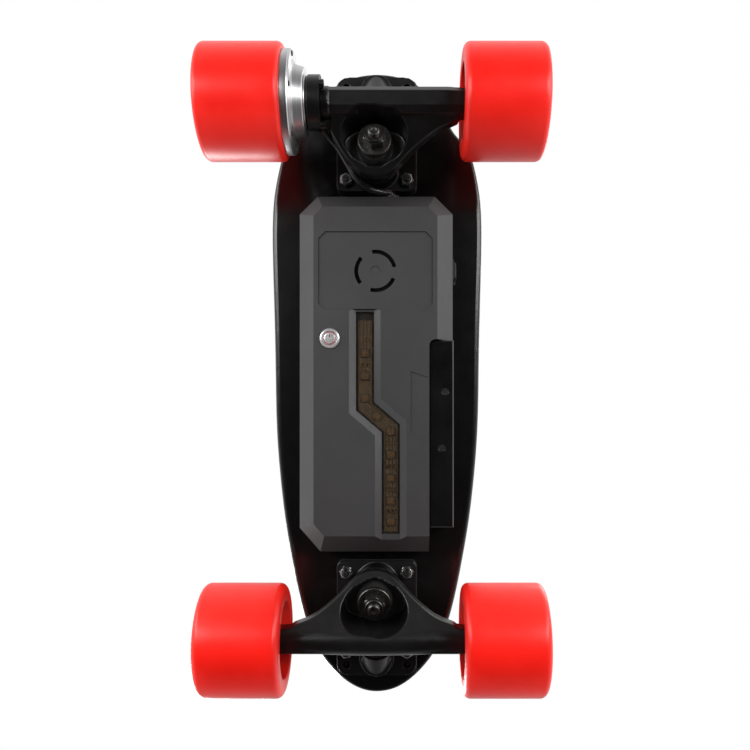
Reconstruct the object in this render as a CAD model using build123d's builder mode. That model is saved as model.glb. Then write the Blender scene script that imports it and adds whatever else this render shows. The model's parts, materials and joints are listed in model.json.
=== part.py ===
from build123d import *
import os
from math import sin, cos, tan, atan2, radians, degrees, pi, hypot

# Electric skateboard, mini cruiser size. Millimetres, +Z up, wheels on Z = 0.
# Length runs along Y: the nose is at -Y, the tail and the hub motor at +Y.
# The rider's left is +X. Origin: bottom centre of the bounding box.
os.makedirs("parts", exist_ok=True)

# ---------------------------------------------------------------- driving dimensions
half_length = 215.0          # deck half length
deck_bottom = 90.0
deck_thick = 10.0
deck_top = deck_bottom + deck_thick
grip_thick = 1.0
riser_thick = 3.0
plate_thick = 5.0
plate_bottom = deck_bottom - riser_thick - plate_thick      # 82, ground side of the baseplates
wheel_r = 35.0
wheel_w = 51.0
wheel_x = 80.5               # centre plane of each wheel
axle_z = wheel_r
axle_r = 4.0
shoulder_x = 67.5            # end of the hanger, where the inner bearing stops
front_pattern_y = -156.5     # centre of the front truck's bolt pattern
rear_pattern_y = 164.5
bolt_dx, bolt_dy = 20.65, 27.0
axle_u = 7.0                 # axle offset from the pattern centre, outwards
lean = 7.0                   # kingpin lean, degrees
kp_u, kp_z = -15.0, 56.0     # a point on the kingpin axis
pivot_u, pivot_z = 29.5, 77.0
case_face = 60.0             # ground side of the case
case_knee = 74.0
case_rim = 88.5
gasket_t = 1.5
case_wall = 2.4
cable_r = 2.5

front_axle_y = front_pattern_y - axle_u
rear_axle_y = rear_pattern_y + axle_u
FRONT = Location((0, front_pattern_y, 0), (0, 0, 180))
REAR = Location((0, rear_pattern_y, 0))

sk, ck = sin(radians(lean)), cos(radians(lean))
ring_w = 1.5                                                 # middle of the ring, along the kingpin
ring_u, ring_z = kp_u - sk * ring_w, kp_z + ck * ring_w
steer = atan2(pivot_z - ring_z, pivot_u - ring_u)
sa, ca = sin(steer), cos(steer)
print("steering axis, degrees from level:", round(degrees(steer), 2),
      "front point", (0, round(front_pattern_y - pivot_u, 3), pivot_z),
      "rear point", (0, round(rear_pattern_y + pivot_u, 3), pivot_z), "dir u,z", round(ca, 5), round(sa, 5))

# planes in the truck's own frame: X across, Y outwards from the bolt pattern's centre
kp_base = Plane(origin=(0, kp_u, kp_z), x_dir=(1, 0, 0), z_dir=(0, -sk, ck))
kp_side = Plane(origin=(0, kp_u, kp_z), x_dir=(1, 0, 0), z_dir=(0, -ck, -sk))
kp_axis = Axis((0, kp_u, kp_z), (0, -sk, ck))
pv_side = Plane(origin=(0, pivot_u, pivot_z), x_dir=(1, 0, 0), z_dir=(0, -sa, ca))
pv_axis = Axis((0, pivot_u, pivot_z), (0, ca, sa))


def kp_at(w):
    return kp_base.offset(w)


def inset(points, d):
    """Convex polygon with every side moved inwards by d (counter-clockwise points)."""
    n = len(points)
    lines = []
    for i in range(n):
        (x0, y0), (x1, y1) = points[i], points[(i + 1) % n]
        length = hypot(x1 - x0, y1 - y0)
        nx, ny = -(y1 - y0) / length, (x1 - x0) / length
        lines.append((x0 + nx * d, y0 + ny * d, (x1 - x0) / length, (y1 - y0) / length))
    out = []
    for i in range(n):
        ax, ay, adx, ady = lines[i - 1]
        bx, by, bdx, bdy = lines[i]
        t = ((bx - ax) * bdy - (by - ay) * bdx) / (adx * bdy - ady * bdx)
        out.append((ax + adx * t, ay + ady * t))
    return out


def ribbon(points, hw):
    """Closed outline hw each side of an open centre line, mitred at its corners."""
    left, right = [], []
    n = len(points)
    for i, (x, y) in enumerate(points):
        dirs = []
        if i > 0:
            dx, dy = x - points[i - 1][0], y - points[i - 1][1]
            dirs.append((dx / hypot(dx, dy), dy / hypot(dx, dy)))
        if i < n - 1:
            dx, dy = points[i + 1][0] - x, points[i + 1][1] - y
            dirs.append((dx / hypot(dx, dy), dy / hypot(dx, dy)))
        tx, ty = sum(d[0] for d in dirs), sum(d[1] for d in dirs)
        m = hypot(tx, ty)
        nx, ny = -ty / m, tx / m
        k = hw / (nx * -dirs[0][1] + ny * dirs[0][0])
        left.append((x + nx * k, y + ny * k))
        right.append((x - nx * k, y - ny * k))
    return left + right[::-1]


def shrunk(points, d):
    """Points of a smooth closed outline (counter-clockwise), each moved inwards by d along its normal."""
    out = []
    n = len(points)
    for i in range(n):
        (ax, ay), (bx, by) = points[i - 1], points[(i + 1) % n]
        m = hypot(bx - ax, by - ay)
        out.append((points[i][0] - (by - ay) / m * d, points[i][1] + (bx - ax) / m * d))
    return out


# ---------------------------------------------------------------- deck and grip tape
outline = [(0, -215), (12.7, -212.5), (22.3, -206.9), (31.4, -198.4), (38.2, -189.9), (45.2, -177.2),
           (52.7, -154.6), (58.7, -126.3), (63.6, -98.1), (67.1, -69.8), (69.8, -36), (71.0, 15),
           (72.4, 71.6), (73.0, 106), (71.6, 131), (68.4, 148.5), (62.4, 164.5), (53.9, 174),
           (48.1, 184.6), (38.5, 198.8), (30.7, 205.8), (20.1, 211.5), (0, 215)]
full_outline = outline + [(-x, y) for x, y in outline[-2:0:-1]]
case_screw_xy = [(44, 105), (-44, 105), (44.2, 10), (-43, 37), (44, -88), (-29.8, -107.4)]
bolt_xy = [(sx * bolt_dx, y) for sx in (-1, 1)
           for y in (front_pattern_y - bolt_dy, front_pattern_y + bolt_dy,
                     rear_pattern_y - bolt_dy, rear_pattern_y + bolt_dy)]

with BuildPart() as deck:
    with BuildSketch(Plane.XY.offset(deck_bottom)):
        with BuildLine():
            Spline(*full_outline, periodic=True)
        make_face()
    extrude(amount=deck_thick)
    fillet(deck.faces().sort_by(Axis.Z)[-1].edges(), 2.5)
    fillet(deck.faces().sort_by(Axis.Z)[0].edges(), 3.5)
    with Locations(*[(x, y, deck_top) for x, y in bolt_xy]):
        CounterSinkHole(radius=2.7, counter_sink_radius=4.9)
    with Locations(*[(x, y, deck_top) for x, y in case_screw_xy]):
        CounterSinkHole(radius=2.1, counter_sink_radius=4.1)

with BuildPart() as grip_tape:
    with BuildSketch(Plane.XY.offset(deck_top)):
        with BuildLine():
            Spline(*shrunk(full_outline, 2.6), periodic=True)
        make_face()
    extrude(amount=grip_thick)

# ---------------------------------------------------------------- truck baseplates
plate_u0, plate_u1, plate_hw = -34.0, 44.0, 27.25

with BuildPart() as base_local:
    with BuildSketch(Plane.XY.offset(plate_bottom)) as plate_sketch:
        with Locations((0, (plate_u0 + plate_u1) / 2)):
            Rectangle(2 * plate_hw, plate_u1 - plate_u0)
        fillet(plate_sketch.vertices().group_by(Axis.Y)[-1], 8)
        fillet(plate_sketch.vertices().group_by(Axis.Y)[0], 4)
    extrude(amount=plate_thick)
    # two stiffening ribs beside the pivot boss
    with BuildSketch(Plane.XY.offset(plate_bottom)):
        with Locations((0, 12)):
            Rectangle(20, 30)
    extrude(amount=-2.5, taper=20)
    # kingpin seat, square to the leaning kingpin
    with BuildSketch(kp_at(19)):
        Circle(14)
    extrude(amount=9.5, taper=-4)
    # pivot boss: round barrel on the steering axis and its U-shaped foot
    with BuildSketch(Plane.XY.offset(plate_bottom + 0.5)):
        with Locations((0, 24)):
            Rectangle(23, 17)
        with Locations((0, 32.2)):
            Circle(11.5)
    extrude(amount=-8.5, taper=9)
    with BuildSketch(Plane(origin=(0, pivot_u - 6.5 * ca, pivot_z - 6.5 * sa), x_dir=(1, 0, 0), z_dir=(0, ca, sa))):
        Circle(11.4)
    extrude(amount=15.5, taper=14)
    # everything above the riser side is cut flat
    with BuildSketch(Plane.XY.offset(plate_bottom + plate_thick)):
        Rectangle(200, 200)
    extrude(amount=40, mode=Mode.SUBTRACT)
    # mouth of the pivot boss, square to the steering axis
    with BuildSketch(Plane(origin=(0, pivot_u - 6.5 * ca, pivot_z - 6.5 * sa), x_dir=(1, 0, 0), z_dir=(0, ca, sa))):
        with Locations((0, -6.2)):
            Rectangle(30, 21)
    extrude(amount=-17, mode=Mode.SUBTRACT)
    # kingpin hole and its head pocket
    with BuildSketch(kp_at(-5)):
        Circle(4.1)
    extrude(amount=60, mode=Mode.SUBTRACT)
    with BuildSketch(kp_at(24)):
        Circle(7.9)
    extrude(amount=20, mode=Mode.SUBTRACT)
    # pivot cup socket
    with BuildSketch(pv_side):
        with BuildLine():
            Polyline((0, -20), (8.3, -20), (8.3, 1.5), (5.5, 7.0), (0, 7.0), (0, -20))
        make_face()
    revolve(axis=pv_axis, mode=Mode.SUBTRACT)
    # bolt holes, and the outer pair of the older, longer pattern
    with Locations((-bolt_dx, -bolt_dy, 87), (bolt_dx, -bolt_dy, 87), (-bolt_dx, bolt_dy, 87), (bolt_dx, bolt_dy, 87),
                   (-bolt_dx, 36.6, 87), (bolt_dx, 36.6, 87)):
        Hole(radius=2.7, depth=12)

with BuildPart() as front_baseplate:
    add(base_local.part.moved(FRONT))
with BuildPart() as rear_baseplate:
    add(base_local.part.moved(REAR))

with BuildPart() as riser_local:
    with BuildSketch(Plane.XY.offset(deck_bottom - riser_thick)):
        with Locations((0, (plate_u0 + plate_u1) / 2)):
            RectangleRounded(2 * plate_hw + 0.8, plate_u1 - plate_u0 + 0.8, 5)
    extrude(amount=riser_thick)
    with Locations((-bolt_dx, -bolt_dy, 90), (bolt_dx, -bolt_dy, 90), (-bolt_dx, bolt_dy, 90), (bolt_dx, bolt_dy, 90)):
        Hole(radius=2.7, depth=6)
with BuildPart() as riser_pads:
    add(riser_local.part.moved(FRONT))
    add(riser_local.part.moved(REAR))

# ---------------------------------------------------------------- kingpin stack
with BuildPart() as kingpin_local:
    with BuildSketch(kp_at(-26)):
        Circle(axle_r)
    extrude(amount=51)
    chamfer(kingpin_local.faces().sort_by(Axis.Z)[0].edges(), 0.9)
    with BuildSketch(kp_at(24)):
        RegularPolygon(radius=7.5, side_count=6)
    extrude(amount=5.3)
with BuildPart() as kingpins:
    add(kingpin_local.part.moved(FRONT))
    add(kingpin_local.part.moved(REAR))

with BuildPart() as kp_nut_local:
    with BuildSketch(kp_at(-23)):
        RegularPolygon(radius=7.5, side_count=6)
    extrude(amount=8)
    with BuildSketch(kp_side):
        with BuildLine():
            Polyline((0, -23), (6.2, -23), (7.6, -22.2), (7.6, -15.6), (7.2, -15), (0, -15), (0, -23))
        make_face()
    revolve(axis=kp_axis, mode=Mode.INTERSECT)
    with BuildSketch(kp_at(-24)):
        Circle(axle_r)
    extrude(amount=12, mode=Mode.SUBTRACT)
with BuildPart() as kingpin_nuts:
    add(kp_nut_local.part.moved(FRONT))
    add(kp_nut_local.part.moved(REAR))

# cupped washers: one under each nut, one against each seat
with BuildPart() as washer_local:
    with BuildSketch(kp_side):
        with BuildLine():
            Polyline((4, -15), (10.25, -15), (10.9, -14.4), (10.9, -11.6), (10.2, -11.6), (10.2, -13), (4, -13), (4, -15))
        make_face()
        with BuildLine():
            Polyline((4, 19), (13.2, 19), (13.9, 18.2), (13.9, 16.2), (13.2, 16.2), (13.2, 17.4), (4, 17.4), (4, 19))
        make_face()
    revolve(axis=kp_axis)
with BuildPart() as bushing_washers:
    add(washer_local.part.moved(FRONT))
    add(washer_local.part.moved(REAR))

# cone bushing on the ground side, barrel bushing on the board side
with BuildPart() as bushing_local:
    with BuildSketch(kp_side):
        with BuildLine():
            Polyline((4.3, -13), (9.9, -13), (10.1, -11.5), (12.0, -4.5), (12.0, -3), (4.3, -3), (4.3, -13))
        make_face()
        with BuildLine():
            Polyline((4.3, 6), (12.6, 6), (13.1, 8), (13.1, 15.4), (12.7, 17.4), (4.3, 17.4), (4.3, 6))
        make_face()
    revolve(axis=kp_axis)
with BuildPart() as front_bushings:
    add(bushing_local.part.moved(FRONT))
with BuildPart() as rear_bushings:
    add(bushing_local.part.moved(REAR))

with BuildPart() as cup_local:
    with BuildSketch(pv_side):
        with BuildLine():
            Polyline((6.6, -7.6), (9.6, -7.6), (9.6, -6.5), (8.25, -6.5), (8.25, 1.5), (5.4, 6.9), (0, 6.9))
            Line((0, 6.9), (0, 6.2))
            ThreePointArc((0, 6.2), (6.2 * sin(pi / 4), 6.2 * cos(pi / 4)), (6.2, 0))
            Polyline((6.2, 0), (6.2, -6), (6.6, -7.6))
        make_face()
    revolve(axis=pv_axis)
with BuildPart() as pivot_cups:
    add(cup_local.part.moved(FRONT))
    add(cup_local.part.moved(REAR))

# ---------------------------------------------------------------- mounting bolts and lock nuts
with BuildPart() as truck_bolts:
    for bx, by in bolt_xy:
        with BuildSketch(Plane((bx, by, deck_top), x_dir=(1, 0, 0), z_dir=(0, -1, 0))):
            with BuildLine():
                Polyline((0, -0.1), (4.75, -0.1), (2.4, -2.5), (2.4, -24.2), (1.9, -24.8), (0, -24.8), (0, -0.1))
            make_face()
        revolve(axis=Axis((bx, by, deck_top), (0, 0, 1)))

with BuildPart() as truck_nuts:
    with BuildSketch(Plane.XY.offset(plate_bottom)):
        with Locations(*bolt_xy):
            RegularPolygon(radius=4.62, side_count=6)
    extrude(amount=-4.4)
    with BuildSketch(Plane.XY.offset(plate_bottom - 4.4)):
        with Locations(*bolt_xy):
            Circle(3.7)
    extrude(amount=-1.4, taper=12)
    with BuildSketch(Plane.XY.offset(plate_bottom)):
        with Locations(*bolt_xy):
            Circle(2.4)
    extrude(amount=-8, mode=Mode.SUBTRACT)

# ---------------------------------------------------------------- hangers
def hanger_nose():
    """Stub that turns in the pivot cup, and the neck behind it."""
    with BuildPart() as nose:
        with BuildSketch(pv_side):
            with BuildLine():
                Polyline((0, -36), (11.5, -36), (10.5, -26), (7.4, -14), (5.6, -9), (5.6, -2.66))
                ThreePointArc((5.6, -2.66), (6.2 * sin(1.35) - 0.02, 6.2 * cos(1.35)), (6.15 * sin(pi / 4), 6.15 * cos(pi / 4)))
                ThreePointArc((6.15 * sin(pi / 4), 6.15 * cos(pi / 4)), (6.15 * sin(pi / 8), 6.15 * cos(pi / 8)), (0, 6.15))
                Line((0, 6.15), (0, -36))
            make_face()
        revolve(axis=pv_axis)
        # gusset from the axle beam to the neck
        with BuildSketch(Plane.YZ):
            Polygon((2, 33), (13, 33), (14.5, 46), (15.5, 66.5), (6, 68), (-2, 60), align=None)
        extrude(amount=7, both=True)
    return nose.part


def bowl_cut(points):
    """Kingpin bowl: a pocket square to the kingpin, from the ground side down to the ring."""
    with BuildPart() as cut:
        with BuildSketch(kp_at(-3)):
            with BuildLine():
                Spline(*points, periodic=True)
            make_face()
        extrude(amount=-40, taper=-4)
        with BuildSketch(kp_at(-3)):
            Circle(14.2)
        extrude(amount=-30)
        with BuildSketch(kp_at(-5)):
            Circle(7.6)
        extrude(amount=20)
        # room for the barrel bushing and the seat above the ring
        with BuildSketch(kp_at(6)):
            Circle(14.0)
        extrude(amount=30, taper=-9)
    return cut.part


bowl_front = bowl_cut([(0, 12.8), (12.6, 11.4), (19.8, 4.4), (17.8, -4), (11.2, -10.0), (0, -12.6), (-11.2, -10.0), (-17.8, -4), (-19.8, 4.4), (-12.6, 11.4)])
bowl_rear = bowl_cut([(0, 11.5), (12.6, 10.8), (19.6, 4), (17.8, -4), (11.2, -10.0), (0, -12.6), (-11.2, -10.0), (-17.8, -4), (-19.6, 4), (-12.6, 10.8)])

with BuildPart() as front_hanger_local:
    with BuildSketch(Plane.XY):
        with BuildLine():
            Spline((0, -33.2), (9.6, -30.9), (17.0, -24.6), (23.4, -18.2), (31.6, -11.4), (41, -5.8), (51, -2.2), (64, -0.6),
                   tangents=((1, 0), (1, 0.02)))
            Polyline((64, -0.6), (64, 14.4), (30, 16.2), (0, 16.6), (0, -33.2))
        make_face()
        mirror(about=Plane.YZ)
    extrude(amount=90)
    with BuildSketch(Plane.YZ):
        Polygon((-33.1, 50.4), (-33.8, 59.74), (-0.2, 63.86), (9, 60), (14.2, 46), (16.4, 38), (14.6, 29.5), (8, 26.6), (1, 28.0),
                (-9, 37), (-20, 44.5), align=None)
    extrude(amount=80, both=True, mode=Mode.INTERSECT)
    with BuildSketch(Plane.XZ):
        Polygon((-64, 27.6), (64, 27.6), (64, 42.4), (44, 45), (26, 54.5), (17, 64), (-17, 64), (-26, 54.5), (-44, 45), (-64, 42.4), align=None)
    extrude(amount=90, both=True, mode=Mode.INTERSECT)
    with BuildSketch(Plane((0, axle_u, axle_z))):
        with BuildLine():
            Spline((-shoulder_x, 7.3), (-58, 7.6), (-30, 9.0), (0, 9.7), (30, 9.0), (58, 7.6), (shoulder_x, 7.3))
            Polyline((shoulder_x, 7.3), (shoulder_x, 0), (-shoulder_x, 0), (-shoulder_x, 7.3))
        make_face()
    revolve(axis=Axis((0, axle_u, axle_z), (1, 0, 0)))
    add(hanger_nose())
    add(bowl_front, mode=Mode.SUBTRACT)
    with BuildSketch(Plane((-80, axle_u, axle_z), x_dir=(0, 1, 0), z_dir=(1, 0, 0))):
        Circle(axle_r)
    extrude(amount=160, mode=Mode.SUBTRACT)
with BuildPart() as front_hanger:
    add(front_hanger_local.part.moved(FRONT))

# rear hanger: square chamfered beam, plain on the right, stopping at the motor mount on the left
with BuildPart() as rear_hanger_local:
    with BuildSketch(Plane.XY):
        with BuildLine():
            Spline((0, -33.2), (-9.6, -30.9), (-17.0, -24.6), (-23.6, -18.6), (-32.4, -12.6), (-42.5, -7.0), (-53, -3.0), (-63, -0.4),
                   tangents=((-1, 0), (-1, 0.02)))
            Polyline((-63, -0.4), (-63, 11), (27, 11), (27, -10), (22.6, -17.2), (17.4, -24.2), (9.8, -30.8), (0, -33.2))
        make_face()
    extrude(amount=90)
    with BuildSketch(Plane.YZ):
        Polygon((-33.1, 50.4), (-33.8, 59.74), (-0.2, 63.86), (8, 58), (11, 46), (11, 31), (2, 31),
                (-9, 37), (-20, 44.5), align=None)
    extrude(amount=80, both=True, mode=Mode.INTERSECT)
    with BuildSketch(Plane.XZ):
        Polygon((-64, 29.0), (29, 29.0), (29, 52), (17, 64.3), (-17, 64.3), (-26, 54.5), (-44, 45), (-64, 41.6), align=None)
    extrude(amount=90, both=True, mode=Mode.INTERSECT)
    with BuildSketch(Plane((-46, axle_u, axle_z), x_dir=(0, 1, 0), z_dir=(1, 0, 0))):
        Rectangle(17, 17)
        chamfer(vertices(Select.ALL), 4)
    extrude(amount=76)
    with BuildSketch(Plane((-46, axle_u, axle_z), x_dir=(0, 1, 0), z_dir=(1, 0, 0))):
        Rectangle(17, 17)
        chamfer(vertices(Select.ALL), 4)
    with BuildSketch(Plane((-shoulder_x, axle_u, axle_z), x_dir=(0, 1, 0), z_dir=(1, 0, 0))):
        Rectangle(14.6, 14.6)
        chamfer(vertices(Select.ALL), 3.9)
    loft(ruled=True)
    add(hanger_nose())
    # cone that spreads to the motor mount
    with BuildSketch(Plane((28, axle_u, axle_z), x_dir=(0, 1, 0), z_dir=(1, 0, 0))):
        Circle(10.0)
    extrude(amount=5)
    add(bowl_rear, mode=Mode.SUBTRACT)
    with BuildSketch(Plane((-80, axle_u, axle_z), x_dir=(0, 1, 0), z_dir=(1, 0, 0))):
        Circle(axle_r)
    extrude(amount=90, mode=Mode.SUBTRACT)
    with BuildSketch(Plane((10, axle_u, axle_z), x_dir=(0, 1, 0), z_dir=(1, 0, 0))):
        Circle(6.0)
    extrude(amount=30, mode=Mode.SUBTRACT)
with BuildPart() as rear_hanger:
    add(rear_hanger_local.part.moved(REAR))

# ---------------------------------------------------------------- axles, spacers, nuts, bearings
def across(x, y):
    """Plane square to an axle, its sketch x along Y and its sketch y along Z, extruding towards +X."""
    return Plane((x, y, axle_z), x_dir=(0, 1, 0), z_dir=(1, 0, 0))


with BuildPart() as front_axle:
    with BuildSketch(across(-102.2, front_axle_y)):
        Circle(axle_r)
    extrude(amount=204.4)
    chamfer(front_axle.edges().filter_by(GeomType.CIRCLE), 0.8)
with BuildPart() as rear_axle:
    with BuildSketch(across(-102.2, rear_axle_y)):
        Circle(axle_r)
    extrude(amount=112.2)
    chamfer(rear_axle.edges().filter_by(GeomType.CIRCLE).sort_by(Axis.X)[0], 0.8)


def ring_at(x, y, r_in, r_out, width):
    with BuildPart() as ring:
        with BuildSketch(across(x, y)):
            Circle(r_out)
            Circle(r_in, mode=Mode.SUBTRACT)
        extrude(amount=width)
    return ring.part


def axle_spacer_set(side, y):
    """Two speed rings and the 10 mm spacer between the bearings of one wheel."""
    c = side * wheel_x
    with BuildPart() as spacers:
        add(ring_at(c - 13, y, axle_r, 5.9, 1))
        add(ring_at(c - 5, y, axle_r, 5.9, 10))
        add(ring_at(c + 12, y, axle_r, 5.9, 1))
    return spacers.part


def inner_ring_set(side, y):
    c = side * wheel_x
    with BuildPart() as rings:
        add(ring_at(c - 12, y, axle_r, 7.1, 7))
        add(ring_at(c + 5, y, axle_r, 7.1, 7))
    return rings.part


def axle_nut(side, y):
    x0 = side * (wheel_x + 13) if side > 0 else side * (wheel_x + 13) - 6
    with BuildPart() as nut:
        with BuildSketch(across(x0, y)):
            RegularPolygon(radius=7.5, side_count=6)
            Circle(axle_r, mode=Mode.SUBTRACT)
        extrude(amount=6)
    return nut.part


with BuildPart() as front_axle_spacers:
    add(axle_spacer_set(1, front_axle_y))
    add(axle_spacer_set(-1, front_axle_y))
with BuildPart() as rear_axle_spacers:
    add(axle_spacer_set(-1, rear_axle_y))
with BuildPart() as front_bearing_inner_rings:
    add(inner_ring_set(1, front_axle_y))
    add(inner_ring_set(-1, front_axle_y))
with BuildPart() as rear_bearing_inner_rings:
    add(inner_ring_set(-1, rear_axle_y))
with BuildPart() as front_axle_nuts:
    add(axle_nut(1, front_axle_y))
    add(axle_nut(-1, front_axle_y))
with BuildPart() as rear_axle_nut:
    add(axle_nut(-1, rear_axle_y))

# ---------------------------------------------------------------- wheels
core_r = 23.0


def wheel_plane(c, y):
    return Plane((c, y, axle_z))


def wheel_tyre(c, y, r_in=core_r, flare=1.2):
    with BuildPart() as tyre:
        with BuildSketch(wheel_plane(c, y)) as s:
            with BuildLine():
                Polyline((-12, r_in), (-wheel_w / 2, r_in + flare), (-wheel_w / 2, wheel_r), (wheel_w / 2, wheel_r),
                         (wheel_w / 2, r_in + flare), (12, r_in), (-12, r_in))
            make_face()
            fillet(s.vertices().group_by(Axis.Y)[-1], 5.5)
        revolve(axis=Axis((c, y, axle_z), (1, 0, 0)))
    return tyre.part


def wheel_core(c, y):
    """Hub core: bearing seats, web and rim."""
    with BuildPart() as core:
        with BuildSketch(wheel_plane(c, y)):
            with BuildLine():
                Polyline((-12, 11), (-12, 14), (-9, 15), (-9, 20), (-12, 21), (-12, core_r), (12, core_r), (12, 21), (9, 20),
                         (9, 15), (12, 14), (12, 11), (5, 11), (5, 9.2), (-5, 9.2), (-5, 11), (-12, 11))
            make_face()
        revolve(axis=Axis((c, y, axle_z), (1, 0, 0)))
    return core.part


def wheel_bearings(c, y):
    """Outer rings with their shields, one each side."""
    with BuildPart() as bearings:
        add(ring_at(c - 12, y, 7.2, 11, 7))
        add(ring_at(c + 5, y, 7.2, 11, 7))
    return bearings.part


with BuildPart() as front_left_tyre:
    add(wheel_tyre(wheel_x, front_axle_y))
with BuildPart() as front_left_core:
    add(wheel_core(wheel_x, front_axle_y))
with BuildPart() as front_left_bearings:
    add(wheel_bearings(wheel_x, front_axle_y))
with BuildPart() as front_right_tyre:
    add(wheel_tyre(-wheel_x, front_axle_y))
with BuildPart() as front_right_core:
    add(wheel_core(-wheel_x, front_axle_y))
with BuildPart() as front_right_bearings:
    add(wheel_bearings(-wheel_x, front_axle_y))
with BuildPart() as rear_right_tyre:
    add(wheel_tyre(-wheel_x, rear_axle_y))
with BuildPart() as rear_right_core:
    add(wheel_core(-wheel_x, rear_axle_y))
with BuildPart() as rear_right_bearings:
    add(wheel_bearings(-wheel_x, rear_axle_y))

# ---------------------------------------------------------------- hub motor wheel (rear left)
can_r = 31.0
my = rear_axle_y
motor_axis = Axis((0, my, axle_z), (1, 0, 0))
motor_plane = Plane((0, my, axle_z))

with BuildPart() as motor_tyre:
    with BuildSketch(motor_plane) as s:
        with BuildLine():
            Polyline((55, can_r), (55, wheel_r), (106, wheel_r), (106, can_r), (55, can_r))
        make_face()
        fillet(s.vertices().group_by(Axis.Y)[-1], 3.9)
    revolve(axis=motor_axis)

with BuildPart() as motor_can:
    with BuildSketch(motor_plane):
        with BuildLine():
            Polyline((55, 27.6), (55, can_r), (101, can_r), (101, 27.6), (55, 27.6))
        make_face()
    revolve(axis=motor_axis)

with BuildPart() as motor_magnets:
    with BuildSketch(across(60, my)):
        with PolarLocations(0, 14):
            with Locations((26.35, 0)):
                Rectangle(2.1, 9.6)
    extrude(amount=32)
    with BuildSketch(motor_plane):
        with BuildLine():
            Polyline((59, 25.2), (59, 27.55), (93, 27.55), (93, 25.2), (59, 25.2))
        make_face()
    revolve(axis=motor_axis, mode=Mode.INTERSECT)

with BuildPart() as motor_inner_cover:
    with BuildSketch(motor_plane) as s:
        with BuildLine():
            Polyline((55, can_r), (50.2, can_r), (49.4, 30.2), (49.4, 25.5), (48.4, 22.2), (42.9, 20.6), (42.4, 20.0), (42.4, 16), (41.7, 15.8),
                     (41.7, 9), (43.2, 9), (43.2, 13), (50.2, 13), (50.2, 18), (52.4, 26), (55, 27.2), (55, can_r))
        make_face()
    revolve(axis=motor_axis)
    with BuildSketch(across(41, my)):
        with PolarLocations(18.1, 6):
            Circle(1.3)
    extrude(amount=3.2, mode=Mode.SUBTRACT)
    with BuildSketch(across(45, my)):
        with PolarLocations(28.2, 6, start_angle=30):
            Circle(1.7)
    extrude(amount=8.5, mode=Mode.SUBTRACT)

with BuildPart() as motor_outer_cover:
    with BuildSketch(motor_plane):
        with BuildLine():
            Polyline((101, can_r), (104.6, can_r), (105.4, 30.2), (105.4, 12), (104.6, 11), (104.6, 0), (102.4, 0), (102.4, 13), (96, 13),
                     (96, 16), (101, 17.5), (101, can_r))
        make_face()
    revolve(axis=motor_axis)
    with BuildSketch(across(101, my)):
        with PolarLocations(26.5, 6):
            Circle(1.7)
    extrude(amount=8, mode=Mode.SUBTRACT)

with BuildPart() as motor_cover_screws:
    with BuildSketch(across(49.9, my)):
        with PolarLocations(28.2, 6, start_angle=30):
            Circle(1.6)
    extrude(amount=3.2)
    with BuildSketch(across(101.2, my)):
        with PolarLocations(26.5, 6):
            Circle(1.6)
    extrude(amount=3.6)

with BuildPart() as motor_bearings:
    add(ring_at(43.2, my, 6.06, 13, 7))
    add(ring_at(96.4, my, 6.06, 13, 6))

# fixed side of the motor
with BuildPart() as motor_shaft:
    with BuildSketch(across(10.2, my)):
        Circle(6.0)
    extrude(amount=91.2)
    chamfer(motor_shaft.edges().filter_by(GeomType.CIRCLE), 0.7)

with BuildPart() as stator_core:
    with BuildSketch(across(62, my)):
        Circle(14)
        with PolarLocations(0, 12):
            with Locations((18, 0)):
                Rectangle(12, 3.4)
        with BuildSketch(mode=Mode.PRIVATE) as band:
            Circle(24.6)
            Circle(22.6, mode=Mode.SUBTRACT)
        add(band.sketch)
        with PolarLocations(0, 12, start_angle=15):
            with Locations((24, 0)):
                Rectangle(6, 1.6, mode=Mode.SUBTRACT)
        Circle(6.0, mode=Mode.SUBTRACT)
    extrude(amount=28)

with BuildPart() as stator_windings:
    for k in range(12):
        a = radians(30 * k)
        with BuildSketch(Plane((60, my + 18.3 * cos(a), axle_z + 18.3 * sin(a)), x_dir=(0, cos(a), sin(a)), z_dir=(1, 0, 0))):
            RectangleRounded(7.0, 7.0, 1.2)
            Rectangle(7.2, 3.5, mode=Mode.SUBTRACT)
        extrude(amount=32)

with BuildPart() as motor_mount:
    with BuildSketch(across(33, my)):
        Circle(16.5)
    extrude(amount=8)
    chamfer(motor_mount.edges().filter_by(GeomType.CIRCLE).sort_by(Axis.X)[-1], 0.8)
    with BuildSketch(across(33, my)):
        with PolarLocations(13.6, 3, start_angle=180):
            Circle(1.7)
    extrude(amount=6, mode=Mode.SUBTRACT)
    with BuildSketch(across(30, my)):
        Circle(6.0)
    extrude(amount=15, mode=Mode.SUBTRACT)
    # raised cable outlet on the board side of the flange
    with BuildSketch(Plane((37, my - 3.5, axle_z + 12))):
        Circle(3.6)
    extrude(amount=6.3)
    with BuildSketch(Plane((37, my - 3.5, axle_z + 15.6))):
        Circle(cable_r)
    extrude(amount=10, mode=Mode.SUBTRACT)

with BuildPart() as motor_mount_screws:
    with BuildSketch(across(30.2, my)):
        with PolarLocations(13.6, 3, start_angle=180):
            Circle(2.75)
    extrude(amount=2.8)
    with BuildSketch(across(32.9, my)):
        with PolarLocations(13.6, 3, start_angle=180):
            Circle(1.7)
    extrude(amount=6)
    with BuildSketch(across(30.2, my)):
        with PolarLocations(13.6, 3, start_angle=180):
            RegularPolygon(radius=1.4, side_count=6)
    extrude(amount=1.5, mode=Mode.SUBTRACT)

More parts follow.
